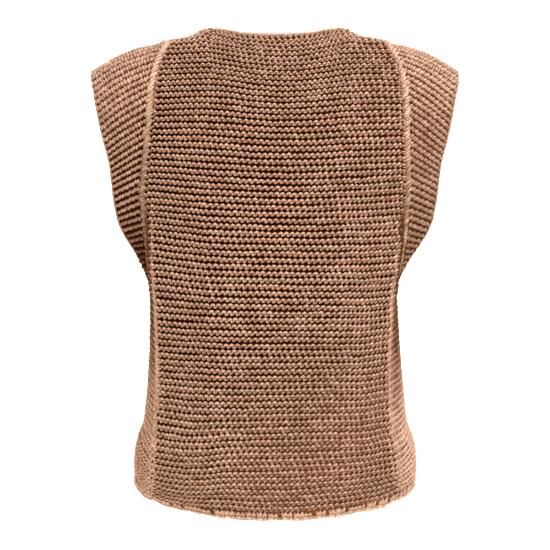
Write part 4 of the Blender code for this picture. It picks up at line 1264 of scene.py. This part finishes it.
def cap_cloth(word, points, normals, flip):
    """The cap's thin ground cloth, in the CAD cap's place."""
    turns = quarters(CAP_TURNS)
    outer, inner = both_faces(quarters(points), quarters(normals), CAP_RIDGES * turns)
    for grid in (outer, inner):
        off_the_seam(grid, np.where(turns < 0.5, 1, -1)[:, None])
    across = (np.linspace(0, CAP_WIDTH, len(CAP_SHARES)) / STITCH)[None]
    uv = np.stack(np.broadcast_arrays(across, CAP_RIDGES * turns[:, None]), -1)
    if flip:
        outer, inner, uv = outer[::-1], inner[::-1], uv[::-1]
    cloth = shell([(outer[:, ::2], inner[:, ::2], uv[:, ::2], 0)], f"cap_cloth_{word}", palest=0.95)
    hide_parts(f"cap_{word}")
    return cloth


def cap_pieces(word, hand):
    """One cap: its cloth, its stitches and its selvedge."""
    points, normals = cap_grid(hand, CAP_TURNS, CAP_SHARES)
    off_the_seam(points, np.where(CAP_TURNS < 0.5, 1, -1)[:, None])
    # a mirrored cap's rows are taken the other way round, or its stitches would face inwards
    k = len(points) // 4
    turned = np.cross(points[k, -1] - points[k, 0], points[k + 1, 12] - points[k, 12])
    flip = turned @ normals[k, 12] < 0
    made = cap_stitches(word, points, flip)
    edge = cap_edge(word, hand)
    return cap_cloth(word, points, normals, flip), made, edge


HANDS = (("left", 1), ("right", -1))  # the wearer's left is +X
caps = [cap_pieces(word, hand) for word, hand in HANDS]

# ==== the armhole seams ======================================================================
# Each cap is joined to the body with the seam outside: a raised roll of slanting strands over a
# core, with a dark sheet of painted shade under it.

SEAM_STRAND_STEP = 0.0038
SEAM_WIDE, SEAM_THICK = 0.0034, 0.0026  # the core, from its middle
SEAM_LUMPS = {"into": 0.0002, "wide": 0.12, "thick": 0.08}  # how uneven the core is
# How uneven the strands are: metres, then shares of the width, of the length and of the tone.
SEAM_UNEVEN = {"out": 0.00040, "into": 0.0009, "along": 0.0009, "wide": 0.14, "long": 0.30, "tone": 0.6}
SEAM_LIFT = 0.0001  # they stand out from the seam's middle by this
SEAM_SHRINK = 0.3  # how much smaller the roll is where it turns tightly under the arm
# How much darker the roll is painted, by the distance down: painted shade where the cloth beside the arm
# shades its lower part, and a painted highlight near the shoulder, where the number is below 0.
SEAM_SHADE = {
    "left": ((0.05, 0.08, 0.12, 0.16, 0.20, 0.27), (-0.7, 0.0, 1.0, 1.3, 1.6, 2.4)),
    "right": ((0.05, 0.10, 0.14, 0.19, 0.22), (-0.7, 0.4, 1.0, 0.8, 0.2)),
}
SEAM_SHADOW = {"sink": 0.0026, "wide": 0.0050, "thick": 0.0011}  # a dark sheet of painted shade under the roll
slant = np.radians((-90, -48, 0, 48, 90))
SEAM_SHAPE = strand(
    np.stack([-0.0034 * slant / slant[-1], 0.0034 * np.sin(slant), 0.0028 * np.cos(slant)], axis=-1),
    0.00150 * np.array((0.8, 1, 1.1, 1, 0.8)),
)
seam_yarn = yarn_material("seam yarn", (0.57, 0.405, 0.32), (0.30, 0.17, 0.10), depth=0.5)
seam_core = yarn_material("seam core", (0.40, 0.235, 0.15), SHADED_YARN, depth=0.0)
# painted shade: a nearly black sheet for the shadowed gap under the roll
seam_shadow = yarn_material("seam bed", (0.030, 0.006, 0.0015), SHADED_YARN, depth=0.0, sheen=0.0)


def shrunk(turn):
    """The roll's size at these turns; it shrinks only close to the underarm."""
    return 1 - SEAM_SHRINK * np.maximum(np.cos(2 * np.pi * turn), 0) ** 8


def seam_roll(word, mirror):
    """The core of the roll, and the dark sheet of painted shade under it."""
    turn = np.linspace(0, 1, 240, endpoint=False)
    middle, _, into, out = seam_frame(turn)
    lumps = np.convolve(rng.normal(size=len(turn) + 4), (0.25, 0.5, 0.5, 0.5, 0.25), "valid")
    line = middle + into * (lumps * SEAM_LUMPS["into"])[:, None]
    wide = SEAM_WIDE * shrunk(turn) * (1 + SEAM_LUMPS["wide"] * lumps)
    thick = SEAM_THICK * shrunk(turn) * (1 + SEAM_LUMPS["thick"] * lumps)
    ways = into * mirror, out * mirror
    ring_tube(f"seam_core_{word}", line * mirror, *ways, (wide, thick), seam_core, slot="seam")
    line = middle - out * SEAM_SHADOW["sink"]
    size = SEAM_SHADOW["wide"], SEAM_SHADOW["thick"]
    ring_tube(f"seam_shadow_{word}", line * mirror, *ways, size, seam_shadow, slot="seam")


def seam_strands(word, mirror):
    """The slanting strands over the core, in the CAD roll's place."""
    fine = np.linspace(0, 1, 1441)
    run = run_along(seam_frame(fine)[0])
    count = round(run[-1] / SEAM_STRAND_STEP)
    at = np.interp((np.arange(count) + 0.5) / count * run[-1], run, fine)
    middle, along, into, out = seam_frame(at)
    change = rng.normal(size=(count, 6)).clip(-2, 2)
    middle = middle + out * (SEAM_LIFT + SEAM_UNEVEN["out"] * change[:, :1])
    middle = middle + into * SEAM_UNEVEN["into"] * change[:, 1:2]
    middle = middle + along * change[:, 2:3] * SEAM_UNEVEN["along"]
    small = shrunk(at)[:, None]
    up = into * NOMINAL_PITCH * (1 + SEAM_UNEVEN["wide"] * change[:, 3:4]) * small
    along = along * (1 + SEAM_UNEVEN["long"] * change[:, 4:5]) * small
    if np.cross(along[0], up[0]) @ out[0] * mirror[0] < 0:
        along = -along
    tone = 0.5 + SEAM_UNEVEN["tone"] * change[:, 5] - np.interp(-middle[:, 2], *SEAM_SHADE[word])
    frames = [(middle * mirror, along * mirror, up * mirror, out * small * mirror, tone)]
    strands = knitted(f"armhole_seam_strands_{word}", frames, SEAM_SHAPE, seam_yarn)
    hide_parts(f"armhole_seam_{word}")


for word, hand in HANDS:
    seam_roll(word, (hand, 1, 1))
    seam_strands(word, (hand, 1, 1))

# ==== the neck edge ==========================================================================
# Bound off, and turned over in a thin light roll all round the neck: a core of cord, and strands
# that lie slantwise along it.

NECK_SINK = 0.0022  # the roll lies this much under the last row
NECK_CORD = 0.0019  # its core's radius
NECK_STEP = 0.0033  # two of these for each strand
NECK_SHAPE = strand(mm((-2.9, -1.1, 1.0), (-1.1, -0.9, 1.6), (1.1, 0.9, 1.6), (2.9, 1.1, 1.0)), 0.0013)
NECK_UNEVEN = 0.25  # the strands' tones


def neck_line():
    """The neck's edge as a closed ring, from the back's left shoulder round by the front."""
    inside = COLUMNS <= BLADE_SHARE
    back_left, back_right = (half[0][-1] for half in back_halves)
    back = np.concatenate([back_left[inside[::-1]], back_right[inside][1:]])
    right_edge = front_halves[0][0][NECK_ROW:, -1]
    left_edge = front_halves[1][0][NECK_ROW:, 0]
    return np.concatenate([back, right_edge[::-1], left_edge[1:-1]])


def even(line, step):
    """The closed line with points at even steps, and its ways along."""
    closed = np.concatenate([line, line[:1]])
    run = run_along(closed)
    count = round(run[-1] / step)
    points = read_at(np.arange(count) / count * run[-1], run, closed)
    return points, unit(np.roll(points, -1, 0) - np.roll(points, 1, 0))


neck = even(neck_line(), NECK_STEP / 3)[0]
near = np.arange(-12, 13)  # the cord rounds the corners off over these points
soft = bump(near, 0, 6.0)
neck = sum(np.roll(neck, k, 0) * weight for k, weight in zip(near, soft / soft.sum()))
neck, neck_along = even(neck - (0, 0, NECK_SINK), NECK_STEP)
neck_out = unit(square_to(neck_along, unit(neck - neck.mean(0) * (1, 1, 0) + (0, 0, 0.25))))
neck_side = np.cross(neck_along, neck_out)
ring_tube("neck_core", neck, neck_side, neck_out, (NECK_CORD, NECK_CORD), edge_yarn)
neck_tones = 0.5 + NECK_UNEVEN * rng.normal(size=len(neck[::2])).clip(-2, 2)
neck_frames = (neck[::2], neck_along[::2], neck_side[::2] * -NOMINAL_PITCH, neck_out[::2], neck_tones)
knitted("neck_rim", [neck_frames], NECK_SHAPE, seam_yarn)

# ==== the side and shoulder seams ============================================================
# The panels are joined edge to edge at the sides and on the shoulders, row by row, which hides
# the joins in the ridges: one strand of the knitting's own yarn for each half ridge.

JOIN = strand(mm((-3.4, 0, -1.2), (-1.4, 0.3, 0.4), (1.4, -0.3, 0.4), (3.4, 0, -1.2)), 0.0016)
JOIN_UNEVEN = 0.22  # the strands' tones
JOIN_STEP = 0.0036  # on the shoulders
JOIN_ENDS = (0.002, 0.004)  # how far from the neck and from the armhole it stops
JOIN_SINK = 0.0002


def side_join(word, hand):
    """Strands across one side seam, from the hem to the underarm."""
    frames = []
    for ridge in np.arange(0.5, UNDERARM_ROW - 0.2, 0.5):
        below, place, above = (
            row_points("back", hand, ridge + off, np.array([1.0]))[0] * (1, 0, 1) for off in (-0.5, 0, 0.5)
        )
        up = above - below
        along = np.array([0.0, hand, 0.0])
        tone = 0.5 + JOIN_UNEVEN * rng.normal(size=1).clip(-2, 2)
        frames.append((place[None], along[None], up[None], unit(np.cross(along, up))[None], tone))
    knitted(f"side_join_{word}", frames, JOIN, knit_yarn)


def shoulder_join(word, hand):
    """Strands across one shoulder seam."""
    line = row_points("back", hand, float(RIDGES), np.linspace(BLADE_SHARE, 1, 60)) * (1, 0, 1)
    run = run_along(line)
    places = read_at(np.arange(JOIN_ENDS[0], run[-1] - JOIN_ENDS[1], JOIN_STEP), run, line)
    way = unit(np.gradient(places, axis=0))
    along = np.tile([0.0, -1.0 * hand, 0.0], (len(places), 1))
    out = unit(np.cross(along, way))
    tone = 0.5 + JOIN_UNEVEN * rng.normal(size=len(places)).clip(-2, 2)
    frames = [(places - out * JOIN_SINK, along, way * NOMINAL_PITCH, out, tone)]
    knitted(f"shoulder_join_{word}", frames, JOIN, knit_yarn)


for word, hand in HANDS:
    side_join(word, hand)
    shoulder_join(word, hand)

# ==== the cloth's cut ========================================================================
# The vest is four flat pieces of knitting, each with its own stitches and edges: the back, the front
# and the two caps.

# ==== the floor, the light and the camera ====================================================
# A plain pale paper floor and backdrop, soft light from above behind, and the camera behind the
# vest, a little above its middle.

FLOOR_GLOW, BACKDROP_GLOW = 0.35, 1.0
bpy.ops.mesh.primitive_plane_add(size=30, location=(0, 0, -1.0))
floor = bpy.context.object
floor.name = "floor"
paper, paper_tree = new_material("floor paper")
paper_ramp = node(paper_tree, "ShaderNodeValToRGB", {"Fac": noise(paper_tree, 40.0, 2.0)})
for element, grey in zip(paper_ramp.color_ramp.elements, (0.93, 0.96)):
    element.color = (grey, grey, grey, 1)
fill(paper_tree, paper_tree.nodes["Principled BSDF"], {
    "Base Color": paper_ramp.outputs[0],
    "Emission Color": paper_ramp.outputs[0],
    "Emission Strength": FLOOR_GLOW,
    "Roughness": 0.9,
})
floor.data.materials.append(paper)

bpy.ops.mesh.primitive_plane_add(size=4, location=(0, -4, 1.0), rotation=(np.pi / 2, 0, np.pi))
backdrop = bpy.context.object
backdrop.name = "backdrop"
lit_paper = paper.copy()
lit_paper.name = "backdrop paper"
lit_shader = lit_paper.node_tree.nodes["Principled BSDF"]
lit_shader.inputs["Emission Strength"].default_value = BACKDROP_GLOW
backdrop.data.materials.append(lit_paper)

world = bpy.data.worlds.new("studio")
bpy.context.scene.world = world
world.use_nodes = True
warm_light = {"Color": (1.0, 0.66, 0.38, 1), "Strength": 0.50}
fill(world.node_tree, world.node_tree.nodes["Background"], warm_light)
bpy.context.scene.view_settings.view_transform = "Standard"


VEST_MIDDLE = Vector((0, 0, -0.27))


def area_light(name, place, size, power, colour=(1, 1, 1)):
    """A square soft light that looks at the vest's middle."""
    light = bpy.data.lights.new(name, "AREA")
    light.shape = "SQUARE"
    light.size = size
    light.energy = power
    light.color = colour
    obj = bpy.data.objects.new(name, light)
    bpy.context.scene.collection.objects.link(obj)
    obj.location = place
    toward = VEST_MIDDLE - obj.location
    obj.rotation_euler = toward.to_track_quat("-Z", "Y").to_euler()


area_light("key", (-0.8, 1.40, 2.40), 1.0, 112)
area_light("low fill", (-0.2, 2.5, 0.0), 1.4, 16, (1.0, 0.82, 0.64))
area_light("front key", (1.4, -1.9, 1.7), 1.0, 60)
area_light("front fill", (-0.8, -2.4, -0.4), 1.4, 10)

LOOK_AT_Z = -0.276
CAMERA_DISTANCE = 2.2
CAMERA_UP = np.radians(8)  # it looks down at the back by this much
camera_data = bpy.data.cameras.new("camera")
camera_data.lens = 120
camera_data.sensor_width = 36
camera = bpy.data.objects.new("camera", camera_data)
camera_far, camera_high = CAMERA_DISTANCE * np.cos(CAMERA_UP), CAMERA_DISTANCE * np.sin(CAMERA_UP)
camera.location = (0, camera_far, LOOK_AT_Z + camera_high)
camera.rotation_euler = (np.pi / 2 - CAMERA_UP, 0, np.pi)
bpy.context.scene.collection.objects.link(camera)
bpy.context.scene.camera = camera
